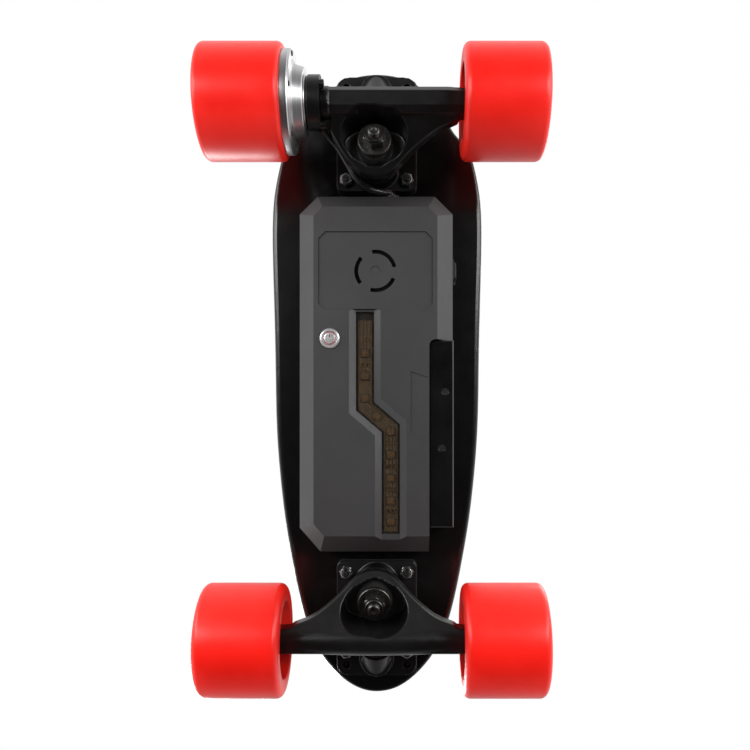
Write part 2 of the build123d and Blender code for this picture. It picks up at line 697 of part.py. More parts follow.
# ---------------------------------------------------------------- electronics case
base_poly = [(39.5, 124.5), (-39.5, 124.5), (-51.5, 112.5), (-51.5, -98.5), (-37.5, -114.5), (37.5, -114.5), (51.5, -98.5), (51.5, 112.5)]
face_poly = [(34.7, 113.9), (-34.7, 113.9), (-40.7, 107.9), (-40.7, -98.4), (-37.2, -102.4), (33.7, -102.4), (40.7, -94.4), (40.7, 107.9)]
notch_x, notch_y = -35.4, 27.0
channel = [(7, 47), (7, -17), (-10, -31.5), (-10, -120)]
window_line = [(7, 45.2), (7, -17), (-10, -31.5), (-10, -101)]
strip_line = [(7, 40), (7, -17), (-10, -31.5), (-10, -100)]


def bevelled(base, face, rim, knee, top):
    with BuildPart() as hull:
        with BuildSketch(Plane.XY.offset(knee)):
            Polygon(*base, align=None)
        extrude(amount=rim - knee)
        with BuildSketch(Plane.XY.offset(knee)):
            Polygon(*base, align=None)
        with BuildSketch(Plane.XY.offset(top)):
            Polygon(*face, align=None)
        loft(ruled=True)
    return hull.part


with BuildPart() as case_cavity:
    add(bevelled(inset(base_poly, case_wall), inset(face_poly, 1.2), case_rim + 2, case_knee + 0.6, case_face + case_wall))
    # wall beside the side cover
    with BuildSketch(Plane.XY.offset(50)):
        with Locations((notch_x + case_wall - 40, notch_y + case_wall - 100)):
            Rectangle(80, 200)
    extrude(amount=50, mode=Mode.SUBTRACT)
    # screw bosses and the trough under the light channel stay solid
    with BuildSketch(Plane.XY.offset(50)):
        with Locations(*case_screw_xy):
            Circle(4)
    extrude(amount=50, mode=Mode.SUBTRACT)
    with BuildSketch(Plane.XY.offset(50)):
        Polygon(*ribbon([(7, 49), (7, -17), (-10, -31.5), (-10, -120)], 11.8), align=None)
    extrude(amount=17.8, mode=Mode.SUBTRACT)

with BuildPart() as case_shell:
    add(bevelled(base_poly, face_poly, case_rim, case_knee, case_face))
    with BuildSketch(Plane.XY.offset(50)) as s:
        with Locations((notch_x - 40, notch_y - 100)):
            Rectangle(80, 200)
        fillet(s.vertices().sort_by(Axis((0, 0, 0), (1, 1, 0)))[-1], 4)
    extrude(amount=50, mode=Mode.SUBTRACT)
    add(case_cavity.part, mode=Mode.SUBTRACT)
    # recessed panel with chamfered corners
    with BuildSketch(Plane.XY.offset(case_face - 1)) as s:
        with Locations((0, 71.85)):
            Rectangle(75.4, 51.7)
        chamfer(s.vertices(), 4.5)
    extrude(amount=2.0, mode=Mode.SUBTRACT)
    # round vent: three curved slots and a centre dimple
    with BuildSketch(Plane.XY.offset(case_face - 1)):
        for a0, sweep_a in ((168, -88), (43, -82), (285, -83)):
            with BuildLine():
                a1 = a0 + sweep_a
                m = (a0 + a1) / 2
                ThreePointArc((14 * cos(radians(a0)), 71.9 + 14 * sin(radians(a0))),
                              (14 * cos(radians(m)), 71.9 + 14 * sin(radians(m))),
                              (14 * cos(radians(a1)), 71.9 + 14 * sin(radians(a1))))
                Line((14 * cos(radians(a1)), 71.9 + 14 * sin(radians(a1))), (11.4 * cos(radians(a1)), 71.9 + 11.4 * sin(radians(a1))))
                ThreePointArc((11.4 * cos(radians(a1)), 71.9 + 11.4 * sin(radians(a1))),
                              (11.4 * cos(radians(m)), 71.9 + 11.4 * sin(radians(m))),
                              (11.4 * cos(radians(a0)), 71.9 + 11.4 * sin(radians(a0))))
                Line((11.4 * cos(radians(a0)), 71.9 + 11.4 * sin(radians(a0))), (14 * cos(radians(a0)), 71.9 + 14 * sin(radians(a0))))
            make_face()
    extrude(amount=5, mode=Mode.SUBTRACT)
    with BuildSketch(Plane.XY.offset(case_face)):
        with Locations((0, 71.9)):
            Circle(3.4)
    extrude(amount=1.5, mode=Mode.SUBTRACT)
    # bevelled light channel and the slot for its window
    with BuildSketch(Plane.XY.offset(case_face)):
        Polygon(*ribbon(channel, 10.3), align=None)
    with BuildSketch(Plane.XY.offset(case_face + 3)):
        Polygon(*ribbon(channel, 6.0), align=None)
    loft(ruled=True, mode=Mode.SUBTRACT)
    with BuildSketch(Plane.XY.offset(case_face + 2.9)):
        Polygon(*ribbon([(7, 45.4), (7, -17), (-10, -31.5), (-10, -101.2)], 6.0), align=None)
    extrude(amount=3.1, mode=Mode.SUBTRACT)
    # shallow relief beside the side cover
    with BuildSketch(Plane.XY.offset(case_face - 1)):
        Polygon((-23.1, 5.8), (-34.6, 2.2), (-37, 2.2), (-37, -42.2), (-33.4, -41.4), (-23.1, -34), align=None)
    extrude(amount=1.6, mode=Mode.SUBTRACT)
    # hole for the button
    with BuildSketch(Plane.XY.offset(case_face - 1)):
        with Locations((30, 27.4)):
            Circle(6.0)
    extrude(amount=8, mode=Mode.SUBTRACT)
    # charging socket, in the right-hand wall
    with BuildSketch(Plane((-55, 75, 80.5), x_dir=(0, 1, 0), z_dir=(1, 0, 0))):
        Circle(5.2)
    extrude(amount=10, mode=Mode.SUBTRACT)
    # cable gland hole, in the tail wall
    with BuildSketch(Plane((-11, 130, 80.0), x_dir=(1, 0, 0), z_dir=(0, -1, 0))):
        Circle(3.6)
    extrude(amount=10, mode=Mode.SUBTRACT)
    # holes for the screws that come down through the deck
    with Locations(*[(x, y, case_rim) for x, y in case_screw_xy]):
        Hole(radius=1.9, depth=10)

with BuildPart() as case_gasket:
    with BuildSketch(Plane.XY.offset(case_rim)) as s:
        Polygon(*base_poly, align=None)
        with Locations((notch_x - 40, notch_y - 100)):
            Rectangle(80, 200, mode=Mode.SUBTRACT)
    extrude(amount=gasket_t)
    with BuildSketch(Plane.XY.offset(case_rim)) as s:
        Polygon(*inset(base_poly, case_wall), align=None)
        with Locations((notch_x + case_wall - 40, notch_y + case_wall - 100)):
            Rectangle(80, 200, mode=Mode.SUBTRACT)
        with Locations(*case_screw_xy):
            Circle(4.6, mode=Mode.SUBTRACT)
    extrude(amount=gasket_t, mode=Mode.SUBTRACT)
    with Locations(*[(x, y, deck_bottom) for x, y in case_screw_xy]):
        Hole(radius=2.1, depth=3)

with BuildPart() as side_cover:
    with BuildSketch(Plane.XY.offset(62.6)) as s:
        with Locations((-43.65, -35.2)):
            Rectangle(15.7, 123.6)
        fillet(s.vertices().group_by(Axis.X)[-1].sort_by(Axis.Y)[-1], 3.6)
    extrude(amount=deck_bottom - 62.6)
    chamfer(side_cover.faces().sort_by(Axis.Z)[0].edges(), 0.8)
    with BuildSketch(Plane.XY.offset(64.6)):
        with Locations((-43.65, -35.2)):
            Rectangle(11.9, 119.6)
        with Locations((-46, -7.4), (-43.8, -44.6)):
            Circle(3.2, mode=Mode.SUBTRACT)
    extrude(amount=30, mode=Mode.SUBTRACT)
    with BuildSketch(Plane.XY.offset(62)):
        with Locations((-46, -7.4), (-43.8, -44.6)):
            Circle(2.4)
    extrude(amount=1.8, mode=Mode.SUBTRACT)
    with BuildSketch(Plane.XY.offset(62)):
        with Locations((-46, -7.4), (-43.8, -44.6)):
            Circle(1.5)
    extrude(amount=14, mode=Mode.SUBTRACT)

with BuildPart() as case_screws:
    for sx, sy in case_screw_xy:
        with BuildSketch(Plane((sx, sy, deck_top), x_dir=(1, 0, 0), z_dir=(0, -1, 0))):
            with BuildLine():
                Polyline((0, -0.1), (3.95, -0.1), (1.9, -2.15), (1.9, -20), (0, -20), (0, -0.1))
            make_face()
        revolve(axis=Axis((sx, sy, deck_top), (0, 0, 1)))
    with BuildSketch(Plane.XY.offset(62.9)):
        with Locations((-46, -7.4), (-43.8, -44.6)):
            Circle(2.3)
    extrude(amount=0.9)
    with BuildSketch(Plane.XY.offset(63.8)):
        with Locations((-46, -7.4), (-43.8, -44.6)):
            Circle(1.5)
    extrude(amount=11)
    with BuildSketch(Plane.XY.offset(62.9)):
        with Locations((-46, -7.4), (-43.8, -44.6)):
            Rectangle(2.4, 0.5)
            Rectangle(0.5, 2.4)
    extrude(amount=0.6, mode=Mode.SUBTRACT)

# ---------------------------------------------------------------- light strip behind its window
with BuildPart() as light_window:
    with BuildSketch(Plane.XY.offset(case_face + 3.0)):
        Polygon(*ribbon(window_line, 5.95), align=None)
    extrude(amount=0.9)
with BuildPart() as led_strip:
    with BuildSketch(Plane.XY.offset(case_face + 5.4)):
        Polygon(*ribbon(strip_line, 4.6), align=None)
    extrude(amount=0.6)
led_spots = [(7, 18.1, 0), (7, 3.1, 0), (7, -11.5, 0), (-0.9, -23.7, 40.5), (-10, -33.6, 0), (-10, -49, 0), (-10, -64.6, 0),
             (-10, -79.6, 0), (-10, -93.3, 0)]
with BuildPart() as leds:
    for lx, ly, la in led_spots:
        with BuildSketch(Plane(Location((lx, ly, case_face + 4.0), (0, 0, la)))):
            Rectangle(5, 5)
        extrude(amount=1.4)
        with BuildSketch(Plane(Location((lx, ly, case_face + 4.0), (0, 0, la)))):
            Circle(1.9)
        extrude(amount=0.4, mode=Mode.SUBTRACT)

# ---------------------------------------------------------------- power button
with BuildPart() as button_housing:
    with BuildSketch(Plane((30, 27.4, 0), x_dir=(1, 0, 0), z_dir=(0, -1, 0))):
        with BuildLine():
            Polyline((4.75, 58.7), (5.9, 58.5), (6.6, 59.2), (6.6, case_face), (5.95, case_face), (5.95, 69.6), (0, 69.6), (0, 66.5),
                     (4.75, 66.5), (4.75, 58.7))
        make_face()
    revolve(axis=Axis((30, 27.4, 0), (0, 0, 1)))
    with BuildSketch(Plane.XY.offset(case_face + case_wall)):
        with Locations((30, 27.4)):
            RegularPolygon(radius=8.6, side_count=6)
            Circle(5.95, mode=Mode.SUBTRACT)
    extrude(amount=2.6)

with BuildPart() as power_button:
    with BuildSketch(Plane((30, 27.4, 0), x_dir=(1, 0, 0), z_dir=(0, -1, 0))):
        with BuildLine():
            Polyline((0, 57.9), (4.0, 57.9), (4.65, 58.4), (4.65, 64.6), (0, 64.6), (0, 57.9))
        make_face()
    revolve(axis=Axis((30, 27.4, 0), (0, 0, 1)))
    with BuildSketch(Plane.XY.offset(57.7)):
        with Locations((30, 27.4)):
            Circle(2.5)
            Circle(2.0, mode=Mode.SUBTRACT)
            Rectangle(1.5, 2.2, align=(Align.CENTER, Align.MIN), mode=Mode.SUBTRACT)
            Rectangle(0.5, 2.9, align=(Align.CENTER, Align.MIN))
    extrude(amount=0.5, mode=Mode.SUBTRACT)

# ---------------------------------------------------------------- charging socket and its cap
with BuildPart() as charge_port:
    with BuildSketch(Plane((-51.5, 75, 80.5), x_dir=(0, 1, 0), z_dir=(-1, 0, 0))):
        with Locations((0, 0.6)):
            RectangleRounded(16, 11.0, 2)
        Circle(4.4, mode=Mode.SUBTRACT)
    extrude(amount=0.8)
    with BuildSketch(Plane((-51.5, 75, 80.5), x_dir=(0, 1, 0), z_dir=(1, 0, 0))):
        Circle(5.1)
    extrude(amount=13)
    with BuildSketch(Plane((-53, 75, 80.5), x_dir=(0, 1, 0), z_dir=(1, 0, 0))):
        Circle(4.4)
        Circle(1.0, mode=Mode.SUBTRACT)
    extrude(amount=11, mode=Mode.SUBTRACT)
    with BuildSketch(Plane((-53, 75, 80.5), x_dir=(0, 1, 0), z_dir=(1, 0, 0))):
        Circle(1.2)
    extrude(amount=3, mode=Mode.SUBTRACT)
    # two lugs and the pin that the cap swings on
    with BuildSketch(Plane((-52.9, 0, 87.0), x_dir=(1, 0, 0), z_dir=(0, -1, 0))):
        with Locations((0.2, -0.4)):
            Rectangle(2.4, 2.6)
    extrude(amount=-68.9)
    with BuildSketch(Plane((-52.9, 0, 87.0), x_dir=(1, 0, 0), z_dir=(0, -1, 0))):
        with Locations((0.2, -0.4)):
            Rectangle(3, 4)
    extrude(amount=-67.0, mode=Mode.SUBTRACT)
    with BuildSketch(Plane((-52.9, 83.0, 87.0), x_dir=(1, 0, 0), z_dir=(0, -1, 0))):
        with Locations((0.2, -0.4)):
            Rectangle(2.4, 2.6)
    extrude(amount=1.9)
    with BuildSketch(Plane((-52.9, 83.0, 87.0), x_dir=(1, 0, 0), z_dir=(0, -1, 0))):
        Circle(0.6)
    extrude(amount=16.0)

with BuildPart() as charge_cap:
    with BuildSketch(Plane((-53.9, 75, 80.9), x_dir=(0, 1, 0), z_dir=(1, 0, 0))):
        RectangleRounded(11.6, 11.4, 2.4)
    extrude(amount=1.3)
    chamfer(charge_cap.faces().sort_by(Axis.X)[0].edges(), 0.3)
    with BuildSketch(Plane((-52.9, 80.6, 87.0), x_dir=(1, 0, 0), z_dir=(0, -1, 0))):
        Circle(1.3)
    extrude(amount=11.2)
    with BuildSketch(Plane((-52.6, 75, 80.5), x_dir=(0, 1, 0), z_dir=(1, 0, 0))):
        Circle(3.4)
    extrude(amount=0.9)
    with BuildSketch(Plane((-52.9, 90, 87.0), x_dir=(1, 0, 0), z_dir=(0, -1, 0))):
        Circle(0.65)
    extrude(amount=30, mode=Mode.SUBTRACT)

# ---------------------------------------------------------------- battery, controller
with BuildPart() as battery_cells:
    for k in range(7):
        cy = -94.0 + 18.7 * k
        with BuildSketch(Plane((-30, cy, 80.6), x_dir=(0, 1, 0), z_dir=(1, 0, 0))):
            Circle(9.1)
        extrude(amount=64)
        with BuildSketch(Plane((34, cy, 80.6), x_dir=(0, 1, 0), z_dir=(1, 0, 0))):
            Circle(3)
        extrude(amount=1)

with BuildPart() as battery_holder:
    for x0 in (-32.6, 35.0):
        with BuildSketch(Plane((x0, -37.9, 79.4), x_dir=(0, 1, 0), z_dir=(1, 0, 0))):
            Rectangle(131.5, 18.0)
        extrude(amount=2.4)

with BuildPart() as controller_board:
    with BuildSketch(Plane.XY.offset(84.0)):
        with Locations((0, 76)):
            Rectangle(62, 60)
    extrude(amount=1.6)
    with BuildSketch(Plane.XY.offset(84.0)):
        with Locations((14, 82)):
            Rectangle(26, 36)
    extrude(amount=-7)
    with BuildSketch(Plane.XY.offset(77.0)):
        with GridLocations(4.2, 0, 6, 1):
            with Locations((14, 82)):
                Rectangle(1.8, 36)
    extrude(amount=4, mode=Mode.SUBTRACT)
    with BuildSketch(Plane.XY.offset(84.0)):
        with Locations((-18, 98), (-18, 86), (-18, 54)):
            Circle(4.8)
    extrude(amount=-13)
    with BuildSketch(Plane.XY.offset(84.0)):
        with Locations((-18, 70)):
            Rectangle(11, 11)
        with Locations((12, 55)):
            Rectangle(20, 6)
    extrude(amount=-2.2)

# ---------------------------------------------------------------- motor cable and its gland
with BuildPart() as cable_gland:
    with BuildSketch(Plane((-11, 0, 80.0), x_dir=(1, 0, 0), z_dir=(0, -1, 0))):
        Circle(3.55)
    extrude(amount=-126.6)
    with BuildSketch(Plane((-11, 124.5, 80.0), x_dir=(1, 0, 0), z_dir=(0, 1, 0))):
        Circle(4.6)
    extrude(amount=1.6)
    with BuildSketch(Plane((-11, 0, 80.0), x_dir=(1, 0, 0), z_dir=(0, -1, 0))):
        Circle(5.2)
    extrude(amount=-121.4, mode=Mode.SUBTRACT)
    with BuildSketch(Plane((-11, 0, 80.0), x_dir=(1, 0, 0), z_dir=(0, -1, 0))):
        Circle(cable_r)
    extrude(amount=-140, mode=Mode.SUBTRACT)

cable_points = [(37, 168, 50.8), (37, 168, 58.0), (31.5, 162.8, 66.0), (24.5, 156.0, 70.4), (18.8, 146.0, 71.6), (13.5, 136.2, 71.8),
                (6.0, 129.6, 73.2), (-3.0, 127.9, 76.2)]
cable_points += [(-9.4, 128.6, 79.3), (-11, 126.2, 80.0), (-11, 122.0, 80.0)]


def fillet_radii(points):
    radii = []
    for a, b, c in zip(points, points[1:], points[2:]):
        v1 = Vector(*b) - Vector(*a)
        v2 = Vector(*c) - Vector(*b)
        turn = radians(v1.get_angle(v2))
        radii.append(0.45 * min(v1.length, v2.length) / tan(turn / 2))
    return radii


cable_radii = fillet_radii(cable_points)
print("cable arc radii:", [round(r, 1) for r in cable_radii])
with BuildPart() as motor_cable:
    with BuildLine() as cable_path:
        FilletPolyline(*cable_points, radius=cable_radii)
    with BuildSketch(Plane(origin=cable_path.wires()[0] @ 0, z_dir=cable_path.wires()[0] % 0)):
        Circle(cable_r)
    sweep(path=cable_path.wires()[0])
print("cable length", round(cable_path.wires()[0].length, 1), "volume / section*length",
      round(motor_cable.part.volume / (pi * cable_r ** 2 * cable_path.wires()[0].length), 4))

# ---------------------------------------------------------------- files
pieces = {
    "deck": deck, "grip_tape": grip_tape, "riser_pads": riser_pads, "front_baseplate": front_baseplate,
    "rear_baseplate": rear_baseplate, "kingpins": kingpins, "kingpin_nuts": kingpin_nuts, "bushing_washers": bushing_washers,
    "front_bushings": front_bushings, "rear_bushings": rear_bushings, "pivot_cups": pivot_cups, "truck_bolts": truck_bolts,
    "truck_nuts": truck_nuts, "case_shell": case_shell, "case_gasket": case_gasket, "case_screws": case_screws,
    "side_cover": side_cover, "light_window": light_window, "led_strip": led_strip, "leds": leds,
    "button_housing": button_housing, "power_button": power_button, "charge_port": charge_port, "charge_cap": charge_cap,
    "battery_cells": battery_cells, "battery_holder": battery_holder, "controller_board": controller_board,
    "cable_gland": cable_gland, "motor_cable": motor_cable, "front_hanger": front_hanger, "front_axle": front_axle,
    "front_axle_nuts": front_axle_nuts, "front_axle_spacers": front_axle_spacers,
    "front_bearing_inner_rings": front_bearing_inner_rings, "rear_hanger": rear_hanger, "rear_axle": rear_axle,
    "rear_axle_nut": rear_axle_nut, "rear_axle_spacers": rear_axle_spacers, "rear_bearing_inner_rings": rear_bearing_inner_rings,
    "motor_mount": motor_mount, "motor_mount_screws": motor_mount_screws, "motor_shaft": motor_shaft,
    "stator_core": stator_core, "stator_windings": stator_windings, "front_left_tyre": front_left_tyre,
    "front_left_core": front_left_core, "front_left_bearings": front_left_bearings, "front_right_tyre": front_right_tyre,
    "front_right_core": front_right_core, "front_right_bearings": front_right_bearings, "rear_right_tyre": rear_right_tyre,
    "rear_right_core": rear_right_core, "rear_right_bearings": rear_right_bearings, "motor_tyre": motor_tyre,
    "motor_can": motor_can, "motor_magnets": motor_magnets, "motor_inner_cover": motor_inner_cover,
    "motor_outer_cover": motor_outer_cover, "motor_cover_screws": motor_cover_screws, "motor_bearings": motor_bearings,
}
for name, piece in pieces.items():
    piece.part.label = name
    export_step(piece.part, f"parts/{name}.step")
print(len(pieces), "pieces")
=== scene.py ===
import bpy, bmesh, json, math, random
from math import sin, cos, pi, radians
from mathutils import Vector, Matrix

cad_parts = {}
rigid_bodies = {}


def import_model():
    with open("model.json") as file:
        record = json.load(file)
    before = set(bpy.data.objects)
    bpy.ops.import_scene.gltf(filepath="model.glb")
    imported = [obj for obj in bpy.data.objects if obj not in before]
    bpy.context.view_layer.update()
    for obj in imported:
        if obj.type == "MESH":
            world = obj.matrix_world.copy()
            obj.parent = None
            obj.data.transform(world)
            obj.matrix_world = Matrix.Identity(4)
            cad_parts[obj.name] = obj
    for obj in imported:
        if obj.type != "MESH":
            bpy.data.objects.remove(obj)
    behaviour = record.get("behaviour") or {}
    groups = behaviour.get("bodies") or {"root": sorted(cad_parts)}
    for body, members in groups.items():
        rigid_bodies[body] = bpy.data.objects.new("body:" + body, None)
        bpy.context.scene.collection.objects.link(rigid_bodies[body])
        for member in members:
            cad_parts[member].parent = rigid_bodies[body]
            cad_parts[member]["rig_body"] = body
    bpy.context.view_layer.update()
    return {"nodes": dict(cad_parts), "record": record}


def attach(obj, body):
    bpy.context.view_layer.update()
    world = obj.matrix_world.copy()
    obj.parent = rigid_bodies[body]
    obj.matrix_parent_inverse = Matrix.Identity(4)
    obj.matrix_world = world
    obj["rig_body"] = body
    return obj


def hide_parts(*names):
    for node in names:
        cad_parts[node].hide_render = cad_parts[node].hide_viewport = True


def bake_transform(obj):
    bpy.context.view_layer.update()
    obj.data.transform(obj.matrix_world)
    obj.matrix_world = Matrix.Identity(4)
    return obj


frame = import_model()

nodes = frame["nodes"]
scene = bpy.context.scene
rng = random.Random(11)
MM = 0.001

# ------------------------------------------------------------------ camera: the underside, seen from below
cam_data = bpy.data.cameras.new("camera")
cam = bpy.data.objects.new("camera", cam_data)
scene.collection.objects.link(cam)
cam_data.lens, cam_data.sensor_width = 37.9, 36.0
cam.matrix_world = Matrix(((-1, 0, 0, -0.0194), (0, 1, 0, -0.032), (0, 0, -1, -0.458), (0, 0, 0, 1)))
cam_data.shift_x, cam_data.shift_y = -0.040, 0.072
cam_data.clip_start = 0.01
scene.camera = cam
scene.view_settings.view_transform = "Standard"

# ------------------------------------------------------------------ small node helpers
class Mat:
    def __init__(self, name, base=(0.5, 0.5, 0.5), rough=0.5, metal=0.0, **sockets):
        self.m = bpy.data.materials.new(name)
        self.m.use_nodes = True
        self.t = self.m.node_tree
        self.b = self.t.nodes["Principled BSDF"]
        self.b.inputs["Base Color"].default_value = (*base, 1)
        self.b.inputs["Roughness"].default_value = rough
        self.b.inputs["Metallic"].default_value = metal
        for k, v in sockets.items():
            self.b.inputs[k.replace("_", " ")].default_value = v
        self.coord = self.t.nodes.new("ShaderNodeTexCoord").outputs["Object"]
        self.height = None

    def node(self, kind, ins=(), **attrs):
        n = self.t.nodes.new(kind)
        for k, v in attrs.items():
            setattr(n, k, v)
        for k, v in dict(ins).items():
            if hasattr(v, "is_output"):
                self.t.links.new(v, n.inputs[k])
            else:
                n.inputs[k].default_value = v
        return n

    def link(self, a, b):
        self.t.links.new(a, b)

    def noise(self, scale, detail=3.0, rough=0.55, vector=None, stretch=None):
        v = vector or self.coord
        if stretch:
            v = self.node("ShaderNodeMapping", {"Vector": v, "Scale": stretch}).outputs[0]
        return self.node("ShaderNodeTexNoise", {"Vector": v, "Scale": scale, "Detail": detail, "Roughness": rough}).outputs["Fac"]

    def voronoi(self, scale, out="Distance", feature="F1"):
        return self.node("ShaderNodeTexVoronoi", {"Vector": self.coord, "Scale": scale}, feature=feature).outputs[out]

    def ramp(self, fac, stops):
        r = self.node("ShaderNodeValToRGB", {"Fac": fac})
        els = r.color_ramp.elements
        while len(els) < len(stops):
            els.new(0.5)
        for e, (p, c) in zip(els, stops):
            e.position = p
            e.color = (*c, 1) if len(c) == 3 else c
        return r.outputs["Color"]

    def scalar(self, fac, lo, hi, a=0.0, b=1.0):
        return self.node("ShaderNodeMapRange", {"Value": fac, "From Min": a, "From Max": b, "To Min": lo, "To Max": hi}).outputs[0]

    def mix(self, fac, a, b, blend="MIX"):
        n = self.node("ShaderNodeMix", data_type="RGBA", blend_type=blend)
        for i, v in ((0, fac), (6, a), (7, b)):
            if hasattr(v, "is_output"):
                self.t.links.new(v, n.inputs[i])
            else:
                n.inputs[i].default_value = v if i == 0 else (*v, 1)
        return n.outputs[2]

    def color(self, out):
        self.link(out, self.b.inputs["Base Color"])

    def rough(self, out):
        self.link(out, self.b.inputs["Roughness"])

    def bump(self, height, strength, distance):
        n = self.node("ShaderNodeBump", {"Height": height, "Strength": strength, "Distance": distance})
        if self.height is not None:
            self.link(self.height, n.inputs["Normal"])
        self.height = n.outputs[0]
        self.link(self.height, self.b.inputs["Normal"])


def wear(m, dark, light, scale=90, amount=0.5):
    """Colour that varies softly between two shades."""
    m.color(m.ramp(m.noise(scale, 4), [(0.5 - amount / 2, dark), (0.5 + amount / 2, light)]))


# ------------------------------------------------------------------ materials
red = Mat("wheel_red", (0.80, 0.02, 0.012), 0.36, Specular_IOR_Level=0.4, Coat_Weight=0.08, Coat_Roughness=0.25)
red.color(red.ramp(red.noise(26, 3), [(0.3, (0.78, 0.013, 0.007)), (0.7, (0.85, 0.022, 0.013))]))
red.rough(red.scalar(red.noise(160, 4), 0.30, 0.42))
red.bump(red.noise(900, 3), 0.10, 0.0002)
red.bump(red.noise(60, 2), 0.10, 0.0006)

core_red = Mat("core_red", (0.72, 0.02, 0.015), 0.38)
core_red.color(core_red.ramp(core_red.noise(40, 3), [(0.3, (0.58, 0.010, 0.006)), (0.7, (0.70, 0.018, 0.011))]))
core_red.bump(core_red.noise(1500, 3), 0.12, 0.0002)

grip = Mat("grip_tape", (0.05, 0.05, 0.052), 0.82, Specular_IOR_Level=0.5)
cells = grip.voronoi(1500, "Color")
sep = grip.node("ShaderNodeSeparateColor", {"Color": cells})
# grit colour per grain: dark grains of random tone, and the brightest few are painted sparkle, a painted glint standing
# for light off the grit
grain_tone_and_painted_sparkle = grip.ramp(sep.outputs[0], [(0.0, (0.022, 0.022, 0.024)), (0.55, (0.040, 0.040, 0.042)), (0.86, (0.075, 0.075, 0.079)), (0.97, (0.26, 0.26, 0.27))])
patch = grip.ramp(grip.noise(38, 5), [(0.35, (0.86, 0.86, 0.87)), (0.65, (1.08, 1.08, 1.08))])
grip.color(grip.mix(1.0, grain_tone_and_painted_sparkle, patch, "MULTIPLY"))
grip.rough(grip.scalar(sep.outputs[1], 0.55, 0.95))
grip.bump(grip.voronoi(1500), 0.9, 0.0005)
grip.bump(grip.noise(4200, 4), 0.5, 0.0003)

deck_black = Mat("deck_lacquer", (0.003, 0.003, 0.003), 0.2, Specular_IOR_Level=0.34, Coat_Weight=0.18, Coat_Roughness=0.12)
deck_black.color(deck_black.ramp(deck_black.noise(30, 4, stretch=(1.0, 0.15, 1.0)), [(0.3, (0.0022, 0.0021, 0.0021)), (0.75, (0.0045, 0.0042, 0.0042))]))
deck_black.rough(deck_black.scalar(deck_black.noise(70, 5), 0.17, 0.30))
deck_black.bump(deck_black.noise(420, 3, stretch=(1.0, 0.12, 1.0)), 0.06, 0.0003)

case_grey = Mat("case_plastic", (0.05, 0.05, 0.052), 0.46, Specular_IOR_Level=0.5)
case_grey.color(case_grey.ramp(case_grey.noise(24, 4), [(0.3, (0.0265, 0.0265, 0.0278)), (0.7, (0.0325, 0.0325, 0.0342))]))
case_grey.rough(case_grey.scalar(case_grey.noise(240, 4), 0.40, 0.54))
case_grey.bump(case_grey.noise(2600, 4, 0.7), 0.34, 0.00022)

gloss = Mat("side_cover_gloss", (0.004, 0.004, 0.0045), 0.12, Coat_Weight=0.5, Coat_Roughness=0.06)
gloss.color(gloss.ramp(gloss.noise(50, 3), [(0.3, (0.003, 0.003, 0.0035)), (0.7, (0.006, 0.006, 0.0065))]))
gloss.rough(gloss.scalar(gloss.noise(500, 5, stretch=(1, 0.2, 1)), 0.09, 0.2))

truck = Mat("truck_black", (0.004, 0.004, 0.004), 0.34, Specular_IOR_Level=0.5)
truck.color(truck.ramp(truck.noise(60, 4), [(0.3, (0.0030, 0.0030, 0.0031)), (0.72, (0.0065, 0.0064, 0.0064))]))
truck.rough(truck.scalar(truck.noise(180, 4), 0.26, 0.40))
truck.bump(truck.noise(1300, 3), 0.16, 0.0002)

steel = Mat("dark_steel", (0.10, 0.10, 0.105), 0.34, 1.0)
steel.color(steel.ramp(steel.noise(700, 5), [(0.3, (0.045, 0.043, 0.041)), (0.6, (0.10, 0.098, 0.094)), (0.8, (0.19, 0.182, 0.172))]))
steel.rough(steel.scalar(steel.noise(900, 4), 0.25, 0.46))
steel.bump(steel.noise(2400, 3), 0.2, 0.00015)

nut_zinc = Mat("nut_steel", (0.34, 0.34, 0.35), 0.24, 1.0)
nut_zinc.color(nut_zinc.ramp(nut_zinc.noise(600, 4), [(0.3, (0.20, 0.20, 0.205)), (0.7, (0.42, 0.42, 0.43))]))
nut_zinc.rough(nut_zinc.scalar(nut_zinc.noise(900, 4), 0.18, 0.34))

bright = Mat("bearing_steel", (0.62, 0.62, 0.64), 0.22, 1.0)
bright.rough(bright.scalar(bright.noise(600, 4), 0.16, 0.34))
bright.color(bright.ramp(bright.noise(90, 3), [(0.3, (0.52, 0.52, 0.54)), (0.7, (0.68, 0.68, 0.70))]))

rubber = Mat("rubber_black", (0.012, 0.012, 0.012), 0.5)
rubber.color(rubber.ramp(rubber.noise(150, 4), [(0.3, (0.009, 0.009, 0.009)), (0.7, (0.018, 0.018, 0.018))]))
rubber.bump(rubber.noise(2200, 3), 0.25, 0.0002)

bushing = Mat("bushing_urethane", (0.014, 0.014, 0.014), 0.3, Coat_Weight=0.2, Coat_Roughness=0.2)
bushing.color(bushing.ramp(bushing.noise(120, 3), [(0.3, (0.010, 0.010, 0.010)), (0.7, (0.022, 0.021, 0.020))]))
bushing.bump(bushing.noise(700, 2), 0.12, 0.0003)

jacket = Mat("cable_jacket", (0.010, 0.010, 0.010), 0.26, Specular_IOR_Level=0.6)
jacket.rough(jacket.scalar(jacket.noise(500, 3), 0.2, 0.36))
jacket.bump(jacket.noise(1200, 2, stretch=(1, 1, 1)), 0.12, 0.0002)

chrome = Mat("button_chrome", (0.86, 0.86, 0.87), 0.3, 0.62)
chrome.rough(chrome.scalar(chrome.noise(420, 4), 0.24, 0.36))
chrome.color(chrome.ramp(chrome.noise(200, 3), [(0.3, (0.50, 0.50, 0.51)), (0.7, (0.64, 0.64, 0.64))]))

# painted glow: a plain red surface standing for the lit ring light; it gives no light
painted_glow_red = Mat("button_ring_painted_glow", (0.5, 0.012, 0.01), 0.3)
painted_glow_red.color(painted_glow_red.ramp(painted_glow_red.noise(1500, 2), [(0.3, (0.42, 0.010, 0.008)), (0.7, (0.6, 0.02, 0.014))]))

window = Mat("smoked_window", (0.014, 0.011, 0.008), 0.08, Alpha=0.3)
window.rough(window.scalar(window.noise(300, 3), 0.05, 0.14))

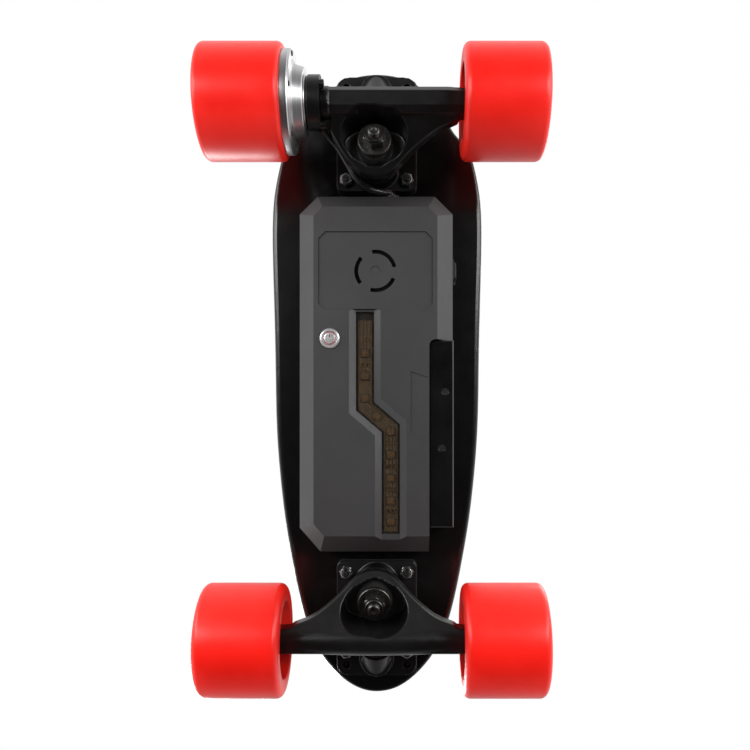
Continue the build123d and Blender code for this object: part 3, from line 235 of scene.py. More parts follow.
strip = Mat("led_board", (0.20, 0.13, 0.07), 0.4)
strip.color(strip.ramp(strip.noise(420, 3, stretch=(1, 0.35, 1)), [(0.3, (0.155, 0.110, 0.064)), (0.7, (0.23, 0.163, 0.096))]))
strip.bump(strip.noise(1600, 2), 0.15, 0.0002)

package = Mat("led_package", (0.34, 0.21, 0.10), 0.4)
package.color(package.ramp(package.noise(900, 2), [(0.3, (0.17, 0.108, 0.058)), (0.7, (0.225, 0.142, 0.075))]))
lens = Mat("led_lens", (0.62, 0.33, 0.10), 0.2)
lens.color(lens.ramp(lens.noise(1500, 2), [(0.3, (0.20, 0.117, 0.055)), (0.7, (0.26, 0.150, 0.068))]))
pad = Mat("solder_pad", (0.45, 0.28, 0.14), 0.3, 1.0)
pad.rough(pad.scalar(pad.noise(2500, 3), 0.2, 0.5))
# black for the small resistors and the button's mark; also painted shade in the frames round the light packages
black_parts_and_shade_mat = Mat("black_parts_and_painted_shade", (0.02, 0.017, 0.014), 0.35)
black_parts_and_shade_mat.rough(black_parts_and_shade_mat.scalar(black_parts_and_shade_mat.noise(2500, 3), 0.25, 0.5))


def turned(name, base, rough, y, z):
    """Satin metal with fine lathe marks round an X axis through (y, z)."""
    m = Mat(name, base, rough, 1.0)
    shifted = m.node("ShaderNodeVectorMath", {0: m.coord, 1: (0.0, -y, -z)}, operation="ADD").outputs[0]
    s = m.node("ShaderNodeSeparateXYZ", {0: shifted})
    flat = m.node("ShaderNodeCombineXYZ", {"Y": s.outputs[1], "Z": s.outputs[2]}).outputs[0]
    r = m.node("ShaderNodeVectorMath", {0: flat}, operation="LENGTH").outputs["Value"]
    line = m.node("ShaderNodeCombineXYZ", {"X": r, "Y": s.outputs[0]}).outputs[0]
    rings = m.noise(5200, 2, vector=line)
    m.rough(m.scalar(rings, rough - 0.07, rough + 0.10))
    m.color(m.ramp(m.noise(900, 3, vector=line), [(0.3, tuple(c * 0.86 for c in base)), (0.7, base)]))
    m.bump(rings, 0.18, 0.0001)
    return m


silver = turned("motor_silver", (0.64, 0.64, 0.65), 0.33, 0.1715, 0.035)
silver_outer = turned("motor_silver_outer", (0.27, 0.27, 0.28), 0.30, 0.1715, 0.035)

cellwrap = Mat("cell_wrap", (0.02, 0.17, 0.42), 0.3)
cellwrap.bump(cellwrap.noise(300, 3), 0.1, 0.0004)
gauze = Mat("vent_gauze", (0.003, 0.003, 0.003), 0.7, Specular_IOR_Level=0.2)
gauze.bump(gauze.noise(2600, 2), 0.4, 0.0002)
inner = Mat("inner_plastic", (0.02, 0.02, 0.02), 0.5)
inner.bump(inner.noise(1800, 3), 0.2, 0.0002)
green = Mat("circuit_green", (0.01, 0.11, 0.035), 0.35)
green.color(green.ramp(green.noise(500, 2), [(0.45, (0.008, 0.09, 0.03)), (0.55, (0.014, 0.14, 0.045))]))
foam = Mat("gasket_foam", (0.01, 0.01, 0.01), 0.9)
foam.bump(foam.noise(3000, 3), 0.5, 0.0003)
copper = Mat("copper", (0.70, 0.30, 0.12), 0.3, 1.0)
copper.bump(copper.noise(1500, 2, stretch=(0.1, 1, 1)), 0.4, 0.0004)
lam = Mat("lamination", (0.25, 0.25, 0.27), 0.4, 1.0)
lam.bump(lam.noise(1500, 1, stretch=(1, 0.01, 0.01)), 0.4, 0.0002)
magnet = Mat("magnet", (0.35, 0.35, 0.37), 0.25, 1.0)
magnet.rough(magnet.scalar(magnet.noise(500, 3), 0.18, 0.35))

slot_mats = {
    "deck_lacquer": deck_black, "grip": grip, "riser_rubber": rubber, "truck_black": truck, "dark_steel": steel,
    "bushing_urethane": bushing, "case_plastic": case_grey, "gasket_foam": foam, "side_cover_gloss": gloss,
    "smoked_window": window, "led_board": strip, "led_package": package, "button_chrome": chrome, "cell_wrap": cellwrap,
    "inner_plastic": inner, "circuit_green": green, "cap_rubber": rubber, "cable_jacket": jacket, "bearing_steel": bright,
    "wheel_red": red, "core_red": core_red, "motor_silver": silver, "magnet": magnet, "copper": copper, "lamination": lam,
}
node_slot = {s["node"]: s["material_slot"] for s in frame["record"]["subparts"]}
for n, o in nodes.items():
    m = slot_mats[node_slot[n]].m
    if not o.data.materials:
        o.data.materials.append(m)
    for s in o.material_slots:
        s.material = m


# ------------------------------------------------------------------ mesh helpers
def new_object(name, bm, mat, body, replaces=(), sharp=35.0, smooth=True):
    bmesh.ops.recalc_face_normals(bm, faces=bm.faces)
    me = bpy.data.meshes.new(name)
    bm.to_mesh(me)
    bm.free()
    me.materials.append(mat.m)
    obj = bpy.data.objects.new(name, me)
    scene.collection.objects.link(obj)
    finish_shading(obj, sharp, smooth)
    if body:
        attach(obj, body)
    if replaces:
        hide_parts(*replaces)
    return obj


def finish_shading(obj, sharp=35.0, smooth=True):
    me = obj.data
    me.polygons.foreach_set("use_smooth", [smooth] * len(me.polygons))
    if smooth:
        me.set_sharp_from_angle(angle=radians(sharp))


def clone(node, name):
    me = nodes[node].data.copy()
    obj = bpy.data.objects.new(name, me)
    scene.collection.objects.link(obj)
    bm = bmesh.new()
    bm.from_mesh(me)
    bmesh.ops.remove_doubles(bm, verts=bm.verts, dist=3e-6)
    bmesh.ops.dissolve_limit(bm, angle_limit=radians(0.8), use_dissolve_boundaries=False, verts=bm.verts, edges=bm.edges)
    bm.to_mesh(me)
    bm.free()
    return obj


def bake(obj):
    dg = bpy.context.evaluated_depsgraph_get()
    me = bpy.data.meshes.new_from_object(obj.evaluated_get(dg))
    obj.modifiers.clear()
    obj.data = me


def soften(node, width, segments=2, angle=28, mat=None):
    """The CAD piece with its edges rounded, as a moulded or machined one has."""
    body = nodes[node]["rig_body"]
    obj = clone(node, node + "_soft")
    if mat:
        obj.data.materials.clear()
        obj.data.materials.append(mat.m)
    finish_shading(obj, 30)
    b = obj.modifiers.new("round", "BEVEL")
    b.width, b.segments, b.limit_method, b.angle_limit = width, segments, "ANGLE", radians(angle)
    b.use_clamp_overlap = True
    w = obj.modifiers.new("even", "WEIGHTED_NORMAL")
    w.mode, w.weight, w.keep_sharp = "FACE_AREA", 100, False
    bake(obj)
    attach(obj, body)
    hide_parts(node)
    return obj


def cast(node, voxel, rounds, mat=None):
    """The CAD piece as a casting: remeshed fine and relaxed, so that every inside and outside corner has a radius."""
    body = nodes[node]["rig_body"]
    obj = clone(node, node + "_cast")
    r = obj.modifiers.new("remesh", "REMESH")
    r.mode, r.voxel_size, r.adaptivity = "VOXEL", voxel, 0.0
    s = obj.modifiers.new("relax", "SMOOTH")
    s.factor, s.iterations = 0.5, rounds
    bake(obj)
    obj.data.materials.clear()
    obj.data.materials.append((mat or slot_mats[node_slot[node]]).m)
    finish_shading(obj, 180)
    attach(obj, body)
    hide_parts(node)
    return obj


def rounded(points, r, n=4, closed=True):
    """Polygon with each corner eased by a small arc."""
    out = []
    m = len(points)
    for i in range(m):
        p = Vector(points[i])
        if not closed and i in (0, m - 1):
            out.append(tuple(p))
            continue
        a, b = Vector(points[i - 1]) - p, Vector(points[(i + 1) % m]) - p
        if a.length < 1e-9 or b.length < 1e-9:
            continue
        ang = a.angle(b)
        if ang > radians(176):
            out.append(tuple(p))
            continue
        d = min(r / math.tan(ang / 2), a.length * 0.45, b.length * 0.45)
        p0, p1 = p + a.normalized() * d, p + b.normalized() * d
        for k in range(n + 1):
            t = k / n
            q = p0 * (1 - t) ** 2 + p * 2 * t * (1 - t) + p1 * t * t
            out.append(tuple(q))
    return out


def ring_mesh(bm, profile, seg=128, xf=None, mod=None):
    """Closed profile (axial, radius) in mm turned round local X."""
    rows = []
    for k in range(seg):
        a = 2 * pi * k / seg
        row = []
        for x, r in profile:
            rr = mod(a, x, r) if mod else r
            v = Vector((x, rr * cos(a), rr * sin(a)))
            if xf:
                v = xf @ v
            row.append(bm.verts.new(v * MM))
        rows.append(row)
    n = len(profile)
    for k in range(seg):
        a, b = rows[k], rows[(k + 1) % seg]
        for i in range(n):
            j = (i + 1) % n
            quad = (a[i], a[j], b[j], b[i])
            bm.faces.new(quad)


def at(origin, axis=(1, 0, 0)):
    """Matrix, in mm, that lays local +X along axis at origin."""
    x = Vector(axis).normalized()
    up = Vector((0, 0, 1)) if abs(x.z) < 0.9 else Vector((0, 1, 0))
    y = up.cross(x).normalized()
    z = x.cross(y)
    m = Matrix((x, y, z)).transposed().to_4x4()
    m.translation = Vector(origin)
    return m


def box_mesh(bm, size, centre, xf=None, bevel=0.0):
    ret = bmesh.ops.create_cube(bm, size=1.0)
    vs = ret["verts"]
    for v in vs:
        q = Vector((v.co.x * size[0], v.co.y * size[1], v.co.z * size[2])) + Vector(centre)
        if xf:
            q = xf @ q
        v.co = q * MM
    if bevel:
        es = list({e for v in vs for e in v.link_edges})
        bmesh.ops.bevel(bm, geom=es, offset=bevel * MM, segments=2, profile=0.6, affect="EDGES", clamp_overlap=True)


def hex_radius(a, af):
    s = (a + pi / 6) % (pi / 3) - pi / 6
    return af / 2 / cos(s)


def nut_mesh(bm, xf, af, height, hole, cone=30, collar=0.0, collar_r=0.0, seg=96, phase=0.0, both=True):
    """Hexagon nut, chamfered; local x 0 to height; an optional round locking collar continues past it."""
    rc = af / 2 * 1.02
    c = (af / 2 / cos(pi / 6) - rc) * math.tan(radians(cone))
    xs = [0.0, c * 0.5, c, height - c, height - c * 0.5, height] if both else [0.0, height * 0.5, height - c, height - c * 0.5, height]
    prof = [(x, 1.0) for x in xs]
    def outer(a, x):
        limit = 1e9
        lim_lo = rc + x / math.tan(radians(cone)) if both else 1e9
        lim_hi = rc + (height - x) / math.tan(radians(cone))
        return min(hex_radius(a + phase, af), lim_lo, lim_hi)
    rows = []
    for k in range(seg):
        a = 2 * pi * k / seg
        row = [(x, outer(a, x)) for x in xs]
        if collar:
            row += [(height, collar_r), (height + collar * 0.7, collar_r), (height + collar, collar_r - collar * 0.3), (height + collar, hole)]
        else:
            row += [(height, hole)]
        row += [(0.0, hole)]
        rows.append([bm.verts.new((xf @ Vector((x, r * cos(a), r * sin(a)))) * MM) for x, r in row])
    n = len(rows[0])
    for k in range(seg):
        a, b = rows[k], rows[(k + 1) % seg]
        for i in range(n):
            j = (i + 1) % n
            bm.faces.new((a[i], a[j], b[j], b[i]))


def thread_profile(x0, x1, r, pitch, depth):
    """Outer line of a threaded stretch from x0 to x1."""
    out = []
    x = x0
    while x < x1 - pitch * 0.5:
        out += [(x, r - depth), (x + pitch * 0.35, r), (x + pitch * 0.55, r)]
        x += pitch
    out.append((x1, r - depth))
    return out


# ------------------------------------------------------------------ where things are (mm)
FY, RY, AZ, WX = -163.5, 171.5, 35.0, 80.5
def front(x, u, z): return Vector((-x, -156.5 - u, z))
def rear(x, u, z): return Vector((x, 164.5 + u, z))
sk, ck = sin(radians(7)), cos(radians(7))
def kp_frame(which):
    o = which(0, -15, 56)
    d = which(0, -15 - sk, 56 + ck) - o
    return at(o, d)

# ------------------------------------------------------------------ wheels
def tyre(name, cx, cy, body, node):
    bm = bmesh.new()
    p = [(-12, 22.9), (-25.0, 24.0), (-25.5, 24.6), (-25.5, 30.4)]
    # outer lip, tread with a faint crown, other lip
    lip = 4.3
    for k in range(9):
        a = pi / 2 * k / 8
        p.append((-25.5 + lip * (1 - cos(a)), 30.68 + lip * sin(a)))
    p += [(-12, 34.98), (0, 35.0), (12, 34.98)]
    for k in range(9):
        a = pi / 2 * (1 - k / 8)
        p.append((25.5 - lip * (1 - cos(a)), 30.68 + lip * sin(a)))
    p += [(25.5, 30.4), (25.5, 24.6), (25.0, 24.0), (12, 22.9)]
    ring_mesh(bm, p, 192, at((cx, cy, AZ)))
    return new_object(name, bm, red, body, (node,), 40)


def core(name, cx, cy, body, node):
    bm = bmesh.new()
    xf = at((cx, cy, AZ))
    # outer band, hub with bearing seats, middle web
    ring_mesh(bm, rounded([(-11.9, 20.6), (-11.9, 23.02), (11.9, 23.02), (11.9, 20.6), (4, 20.2), (-4, 20.2)], 0.4), 128, xf)
    ring_mesh(bm, rounded([(-11.9, 11.02), (-11.9, 14.2), (-3, 15.0), (3, 15.0), (11.9, 14.2), (11.9, 11.02), (5, 11.02), (5, 9.3), (-5, 9.3), (-5, 11.02)], 0.3), 128, xf)
    ring_mesh(bm, [(-2.2, 14.5), (-2.2, 20.8), (2.2, 20.8), (2.2, 14.5)], 128, xf)
    for k in range(8):
        rot = xf @ Matrix.Rotation(2 * pi * k / 8, 4, "X")
        box_mesh(bm, (18.6, 7.4, 2.2), (0, 17.6, 0), rot, 0.5)
    return new_object(name, bm, core_red, body, (node,), 35)


def bearing_outer(name, cx, cy, body, node):
    bm = bmesh.new()
    for side in (-1, 1):
        c = cx + side * 8.5
        xf = at((c, cy, AZ))
        ring_mesh(bm, rounded([(-3.5, 9.6), (-3.5, 11.0), (3.5, 11.0), (3.5, 9.6), (2.9, 9.5), (-2.9, 9.5)], 0.25), 96, xf)
        for s in (-1, 1):
            # shield with a pressed step
            q = [(s * 2.9, 9.62), (s * 3.0, 9.2), (s * 2.75, 8.9), (s * 2.75, 7.7), (s * 2.55, 7.25), (s * 2.25, 7.25), (s * 2.4, 8.9), (s * 2.5, 9.62)]
            ring_mesh(bm, q if s > 0 else q[::-1], 96, xf)
    return new_object(name, bm, bright, body, (node,), 30)


def bearing_inner(name, cys, cxs, body, node):
    bm = bmesh.new()
    for cx in cxs:
        for side in (-1, 1):
            ring_mesh(bm, rounded([(-3.5, 4.05), (-3.5, 5.8), (-2.9, 6.6), (-2.0, 7.1), (2.0, 7.1), (2.9, 6.6), (3.5, 5.8), (3.5, 4.05)], 0.2), 96,
                      at((cx + side * 8.5, cys, AZ)))
    return new_object(name, bm, bright, body, (node,), 30)


def axle_piece(name, y, x0, x1, body, node, ends):
    bm = bmesh.new()
    prof = [(x0, 0.2), (x0, 3.1)]
    if ends[0]:
        prof += [(x + 0, r) for x, r in thread_profile(x0 + 0.4, x0 + 11, 3.98, 1.0, 0.42)]
    prof += [(x0 + 11.4, 3.98), (x1 - 11.4, 3.98)]
    if ends[1]:
        prof += thread_profile(x1 - 11, x1 - 0.4, 3.98, 1.0, 0.42)
    prof += [(x1, 3.1), (x1, 0.2)]
    ring_mesh(bm, prof, 64, at((0, y, AZ)))
    return new_object(name, bm, steel, body, (node,), 60)


def spacer_piece(name, y, cxs, body, node):
    bm = bmesh.new()
    for cx in cxs:
        for x0, x1 in ((-13, -12), (-5, 5), (12, 13)):
            ring_mesh(bm, rounded([(x0, 4.05), (x0, 5.85), (x1, 5.85), (x1, 4.05)], 0.15), 72, at((cx, y, AZ)))
    return new_object(name, bm, bright, body, (node,), 30)


def axle_nut_piece(name, y, sides, body, node):
    bm = bmesh.new()
    for s in sides:
        nut_mesh(bm, at((s * 93.5, y, AZ), (s, 0, 0)), 13, 4.6, 3.9, collar=1.4, collar_r=5.6)
        ring_mesh(bm, rounded([(4.7, 3.95), (4.7, 5.0), (6.05, 5.0), (6.05, 3.95)], 0.2), 72, at((s * 93.5, y, AZ), (s, 0, 0)))
    return new_object(name, bm, steel, body, (node,), 20)


for side, sx in (("left", 1), ("right", -1)):
    w = f"front_{side}_wheel"
    tyre(f"tyre_front_{side}", sx * WX, FY, w, f"front_{side}_tyre")
    core(f"core_front_{side}", sx * WX, FY, w, f"front_{side}_core")
    bearing_outer(f"bearing_front_{side}", sx * WX, FY, w, f"front_{side}_bearings")
tyre("tyre_rear_right", -WX, RY, "rear_right_wheel", "rear_right_tyre")
core("core_rear_right", -WX, RY, "rear_right_wheel", "rear_right_core")
bearing_outer("bearing_rear_right", -WX, RY, "rear_right_wheel", "rear_right_bearings")
bearing_inner("inner_rings_front", FY, (-WX, WX), "front_truck", "front_bearing_inner_rings")
bearing_inner("inner_rings_rear", RY, (-WX,), "rear_truck", "rear_bearing_inner_rings")
axle_piece("axle_front", FY, -102.2, 102.2, "front_truck", "front_axle", (1, 1))
axle_piece("axle_rear", RY, -102.2, 9.8, "rear_truck", "rear_axle", (1, 0))
spacer_piece("spacers_front", FY, (-WX, WX), "front_truck", "front_axle_spacers")
spacer_piece("spacers_rear", RY, (-WX,), "rear_truck", "rear_axle_spacers")
axle_nut_piece("axle_nuts_front", FY, (-1, 1), "front_truck", "front_axle_nuts")
axle_nut_piece("axle_nut_rear", RY, (-1,), "rear_truck", "rear_axle_nut")

# motor wheel
bm = bmesh.new()
p = [(55.0, 31.0), (55.0, 31.6)]
for k in range(9):
    a = pi / 2 * k / 8
    p.append((55 + 3.4 * (1 - cos(a)), 31.6 + 3.38 * sin(a)))
p += [(68, 35.0), (93, 35.0)]
for k in range(9):
    a = pi / 2 * (1 - k / 8)
    p.append((106 - 3.4 * (1 - cos(a)), 31.6 + 3.38 * sin(a)))
p += [(106, 31.6), (105.7, 31.05)]
ring_mesh(bm, p, 192, at((0, RY, AZ)))
new_object("tyre_motor", bm, red, "motor_wheel", ("motor_tyre",), 40)

bm = bmesh.new()
ring_mesh(bm, rounded([(55, 31.0), (50.6, 31.0), (50.0, 30.4), (49.4, 30.2), (49.4, 25.5), (48.5, 22.3), (42.9, 20.6), (42.4, 20.1), (42.4, 16),
                       (41.7, 15.8), (41.7, 9), (43.2, 9), (43.2, 13), (50.2, 13), (50.2, 18), (52.4, 26), (55, 27.2)], 0.35), 160, at((0, RY, AZ)))
new_object("motor_cover_inner", bm, silver, "motor_wheel", ("motor_inner_cover",), 32)
bm = bmesh.new()
for k in range(6):
    a = 2 * pi * k / 6 + pi / 6
    o = (49.42, RY + 28.2 * cos(a), AZ + 28.2 * sin(a))
    ring_mesh(bm, rounded([(0, 0.2), (0, 0.95), (0.7, 0.95), (0.7, 0.2)], 0.1), 6, at(o, (-1, 0, 0)))
    ring_mesh(bm, rounded([(-1.5, 0.3), (-1.5, 1.55), (0.55, 1.55), (0.75, 1.3), (0.75, 0.9), (-0.2, 0.9), (-0.2, 0.3)], 0.12), 40, at(o, (-1, 0, 0)))
for k in range(6):
    a = 2 * pi * k / 6
    o = (104.9, RY + 26.5 * cos(a), AZ + 26.5 * sin(a))
    ring_mesh(bm, rounded([(-2.5, 0.2), (-2.5, 1.55), (0.3, 1.55), (0.55, 1.3), (0.55, 0.9), (-0.5, 0.9), (-0.5, 0.2)], 0.12), 40, at(o, (1, 0, 0)))
new_object("motor_screws", bm, steel, "motor_wheel", ("motor_cover_screws",), 25)
bm = bmesh.new()
ring_mesh(bm, rounded([(101, 31.0), (104.5, 31.0), (105.3, 30.3), (105.4, 29.6), (104.9, 29.2), (104.9, 23.6), (105.4, 23.2), (105.4, 13.0), (104.5, 12.0),
                       (104.0, 0.3), (102.4, 0.3), (102.4, 13), (96, 13), (96, 16), (101, 17.5)], 0.3), 160, at((0, RY, AZ)))
new_object("motor_cover_outer", bm, silver_outer, "motor_wheel", ("motor_outer_cover",), 32)

# ------------------------------------------------------------------ trucks
cast("front_hanger", 0.00062, 7)
cast("rear_hanger", 0.00055, 4)
cast("front_baseplate", 0.0005, 3)
cast("rear_baseplate", 0.0005, 3)
soften("motor_mount", 0.0004)
soften("riser_pads", 0.0003)


def kingpin_set(which, tag, body="board"):
    xf = kp_frame(which)
    bm = bmesh.new()
    prof = [(-26.0, 0.2), (-26.0, 1.5), (-26.25, 2.0), (-26.25, 3.0), (-25.6, 3.75)] + thread_profile(-25.2, -14.5, 3.98, 1.25, 0.45) + \
           [(-14, 3.98), (24, 3.98), (24, 0.2)]
    ring_mesh(bm, prof, 64, xf)
    nut_mesh(bm, xf @ at((24, 0, 0), (1, 0, 0)), 13, 5.3, 0.3)
    a = new_object("kingpin_" + tag, bm, steel, body, (), 50)
    bm = bmesh.new()
    flip = xf @ Matrix.Translation(Vector((-15, 0, 0))) @ Matrix.Rotation(pi, 4, "Z")
    nut_mesh(bm, flip, 13, 6.4, 3.95, collar=1.6, collar_r=5.9, phase=0.2)
    b = new_object("kingpin_nut_" + tag, bm, steel, body, (), 22)
    bm = bmesh.new()
    ring_mesh(bm, rounded([(-15, 4.05), (-15, 10.3), (-14.5, 10.9), (-11.6, 10.95), (-11.6, 10.25), (-13, 10.0), (-13, 4.05)], 0.35), 96, xf)
    ring_mesh(bm, rounded([(19, 4.05), (19, 13.3), (18.5, 13.9), (16.2, 13.95), (16.2, 13.25), (17.4, 13.0), (17.4, 4.05)], 0.35), 96, xf)
    c = new_object("cup_washers_" + tag, bm, steel, body, (), 35)
    return a, b, c


def bushing_pair(which, tag, node):
    xf = kp_frame(which)
    out = []
    # cone on the ground side
    bm = bmesh.new()
    prof = [(-12.95, 4.4), (-12.95, 9.4)]
    for k in range(7):
        t = k / 6
        prof.append((-12.6 + 8.6 * t, 9.8 + 2.1 * t + 0.35 * sin(pi * t)))
    prof += [(-3.4, 11.95), (-3.05, 11.5), (-3.05, 4.4)]
    ring_mesh(bm, prof, 96, xf)
    o = new_object(f"bushing_cone_{tag}", bm, bushing, None, (), 50)
    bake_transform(o)
    out.append(o)
    # barrel on the board side, with its moulded waist lines
    bm = bmesh.new()
    prof = [(6.05, 4.4), (6.05, 12.2), (6.5, 12.7), (8.0, 13.0), (9.6, 12.6), (10.2, 12.1), (10.8, 12.6), (12.4, 13.05), (13.9, 12.6), (14.5, 12.1),
            (15.1, 12.6), (16.3, 12.9), (17.0, 12.8), (17.35, 12.3), (17.35, 4.4)]
    ring_mesh(bm, prof, 96, xf)
    o = new_object(f"bushing_barrel_{tag}", bm, bushing, None, (), 50)
    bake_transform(o)
    out.append(o)
    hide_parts(node)
    return out


kf = kingpin_set(front, "front")
kr = kingpin_set(rear, "rear")
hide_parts("kingpins")
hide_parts("kingpin_nuts")
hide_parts("bushing_washers")
bushing_pair(front, "front", "front_bushings")
bushing_pair(rear, "rear", "rear_bushings")

# truck bolts and lock nuts
bolt_xy = [(sx * 20.65, y) for sx in (-1, 1) for y in (-183.5, -129.5, 137.5, 191.5)]
bm = bmesh.new()
for i, (x, y) in enumerate(bolt_xy):
    ring_mesh(bm, [(0, 0.2), (0, 4.7), (2.4, 2.4), (17, 2.4)] + thread_profile(17.2, 24.4, 2.4, 0.8, 0.32) + [(24.8, 1.8), (24.8, 0.2)], 40, at((x, y, 99.9), (0, 0, -1)))
new_object("truck_bolt_set", bm, steel, "board", ("truck_bolts",), 45)
bm = bmesh.new()
for i, (x, y) in enumerate(bolt_xy):
    nut_mesh(bm, at((x, y, 82), (0, 0, -1)), 8, 4.3, 2.38, collar=1.5, collar_r=3.6, phase=0.35 * i)
new_object("truck_nut_set", bm, nut_zinc, "board", ("truck_nuts",), 22)

# ------------------------------------------------------------------ case
soften("case_shell", 0.0003, 2)
soften("side_cover", 0.00045, 2)

# light strip: flexible board with its printed lines, light packages, pads, small resistors and dark frames of painted
# shade round the packages
def strip_frame(x, y, turn=0.0):
    return Matrix.Translation(Vector((x, y, 0))) @ Matrix.Rotation(radians(turn), 4, "Z")


LEDS = [(7, 18.1, 0), (7, 3.1, 0), (7, -11.5, 0), (-0.9, -23.7, 40.5), (-10, -33.6, 0), (-10, -49, 0), (-10, -64.6, 0), (-10, -79.6, 0), (-10, -93.3, 0)]
bm = bmesh.new()
for x, y, t in LEDS:
    box_mesh(bm, (4.9, 4.9, 1.15), (0, 0, 64.83), strip_frame(x, y, t), 0.25)
new_object("light_bodies", bm, package, "board", ("leds",), 30)
bm = bmesh.new()
for x, y, t in LEDS:
    f = strip_frame(x, y, t)
    ring_mesh(bm, [(-0.05, 0.05), (-0.05, 1.75), (0.12, 1.7), (0.2, 1.2), (0.2, 0.05)], 40, f @ at((0, 0, 64.28), (0, 0, -1)))
new_object("light_lenses", bm, lens, "board", (), 50)
bm = bmesh.new()
for x, y in ((7, 10.6), (-10, -41.3), (-10, -56.8), (-10, -72.1), (-10, -86.4), (7, 27.5)):
    for k in (-2.6, 0, 2.6):
        for sgn in (-1, 1):
            box_mesh(bm, (1.3, 1.5, 0.12), (x + k, y + sgn * 1.05, 65.36), None, 0.03)
new_object("strip_pads", bm, pad, "board", (), 30)
bm = bmesh.new()
for x, y in ((7, 10.6), (-10, -56.8), (-10, -86.4)):
    for k in (-1.3, 1.3):
        box_mesh(bm, (0.9, 1.7, 0.5), (x + k, y, 65.15), None, 0.08)
# dark frames round each light package: painted shade at the package edges, not a real part
for x, y, t in LEDS:
    f = strip_frame(x, y, t)
    for sgn in (-1, 1):
        box_mesh(bm, (5.3, 0.2, 1.0), (0, sgn * 2.58, 64.85), f, 0.04)
        box_mesh(bm, (0.2, 5.3, 1.0), (sgn * 2.58, 0, 64.85), f, 0.04)
new_object("strip_resistors_and_shade_frames", bm, black_parts_and_shade_mat, "board", (), 30)
bm = bmesh.new()
for k in (-3.6, -1.1, 1.1, 3.6):
    for (x0, y0), (x1, y1) in (((7, 39), (7, -16)), ((7, -17.6), (-10, -30.9)), ((-10, -32.4), (-10, -99))):
        d = Vector((x1 - x0, y1 - y0, 0))
        m = Matrix.Translation(Vector(((x0 + x1) / 2, (y0 + y1) / 2, 0))) @ Matrix.Rotation(math.atan2(d.y, d.x) - pi / 2, 4, "Z")
        box_mesh(bm, (0.55, d.length, 0.1), (k, 0, 65.38), m, 0.02)
new_object("strip_tracks", bm, pad, "board", (), 30)

# dark gauze behind the vent slots
bm = bmesh.new()
gx = at((0, 71.9, 63.3), (0, 0, 1))
for r in (10.9, 11.7, 12.5, 13.3, 14.1):
    ring_mesh(bm, [(0, r - 0.16), (-0.12, r), (0, r + 0.16), (0.12, r)], 96, gx)
ring_mesh(bm, [(0.25, 10.2), (0.25, 15.2), (0.65, 15.2), (0.65, 10.2)], 96, gx)
for k in range(64):
    box_mesh(bm, (0.14, 4.6, 0.22), (0, 12.6, 0.0), gx @ Matrix.Rotation(2 * pi * k / 64, 4, "X") @ Matrix.Rotation(pi / 2, 4, "Y"))
new_object("vent_gauze", bm, gauze, "board", (), 40)

# power button: domed bezel, a ring under a clear lip painted red as its lit light (painted glow, it gives no light),
# cap with its engraved mark
bx, by = 30.0, 27.4
bm = bmesh.new()
ring_mesh(bm, rounded([(58.45, 4.8), (58.45, 5.5), (58.75, 6.35), (59.6, 6.6), (60.02, 6.6), (60.02, 6.0), (63.8, 6.0), (63.8, 4.8)], 0.18), 96, Matrix.Translation(Vector((bx, by, 0))) @ at((0, 0, 0), (0, 0, 1)))
new_object("button_bezel", bm, chrome, "board", ("button_housing",), 40)
# ring painted red for its lit light: painted glow, not a lamp
bm = bmesh.new()
ring_mesh(bm, rounded([(58.5, 3.75), (58.5, 4.12), (58.85, 4.12), (58.85, 3.75)], 0.06), 96, Matrix.Translation(Vector((bx, by, 0))) @ at((0, 0, 0), (0, 0, 1)))
new_object("button_ring", bm, painted_glow_red, "power_button", (), 40)
bm = bmesh.new()
cap = [(64.5, 0.05), (64.5, 4.6), (58.9, 4.62), (58.35, 4.45), (58.12, 4.2), (58.55, 4.12), (58.55, 3.75), (58.12, 3.66), (57.98, 3.2), (57.95, 2.55), (58.3, 2.5),
       (58.3, 2.1), (57.95, 2.05), (57.92, 1.2), (57.9, 0.05)]
ring_mesh(bm, cap, 96, Matrix.Translation(Vector((bx, by, 0))) @ at((0, 0, 0), (0, 0, 1)))
new_object("button_cap", bm, chrome, "power_button", ("power_button",), 40)
bm = bmesh.new()
box_mesh(bm, (1.5, 1.1, 0.36), (bx, by + 2.3, 58.1), None, 0.05)
new_object("button_mark_gap", bm, chrome, "power_button", (), 40)
bm = bmesh.new()
box_mesh(bm, (0.5, 2.4, 0.12), (bx, by + 1.75, 57.9), None, 0.04)
new_object("button_mark_bar", bm, black_parts_and_shade_mat, "power_button", (), 40)

# ------------------------------------------------------------------ motor cable
route = [(37, 168, 50.8), (37, 168, 58.0), (31.5, 162.8, 66.0), (24.5, 156.0, 70.4), (18.8, 146.0, 71.6), (13.5, 136.2, 71.8),
         (6.0, 129.6, 73.2), (-3.0, 127.9, 76.2), (-9.4, 128.6, 79.3), (-11, 126.2, 80.0), (-11, 122.0, 80.0)]
cu = bpy.data.curves.new("cable_line", "CURVE")
cu.dimensions = "3D"
sp = cu.splines.new("NURBS")
sp.points.add(len(route) - 1)
for q, p in zip(sp.points, route):
    q.co = (p[0] * MM, p[1] * MM, p[2] * MM, 1)
sp.order_u = 3
sp.use_endpoint_u = True
sp.resolution_u = 10
cu.bevel_depth = 2.45 * MM
cu.bevel_resolution = 8
cu.use_fill_caps = True
co = bpy.data.objects.new("cable_line", cu)
scene.collection.objects.link(co)
dg = bpy.context.evaluated_depsgraph_get()
me = bpy.data.meshes.new_from_object(co.evaluated_get(dg))
bpy.data.objects.remove(co)
cable = bpy.data.objects.new("motor_lead", me)
scene.collection.objects.link(cable)
me.materials.clear()
me.materials.append(jacket.m)
finish_shading(cable, 60)
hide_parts("motor_cable")
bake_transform(cable)

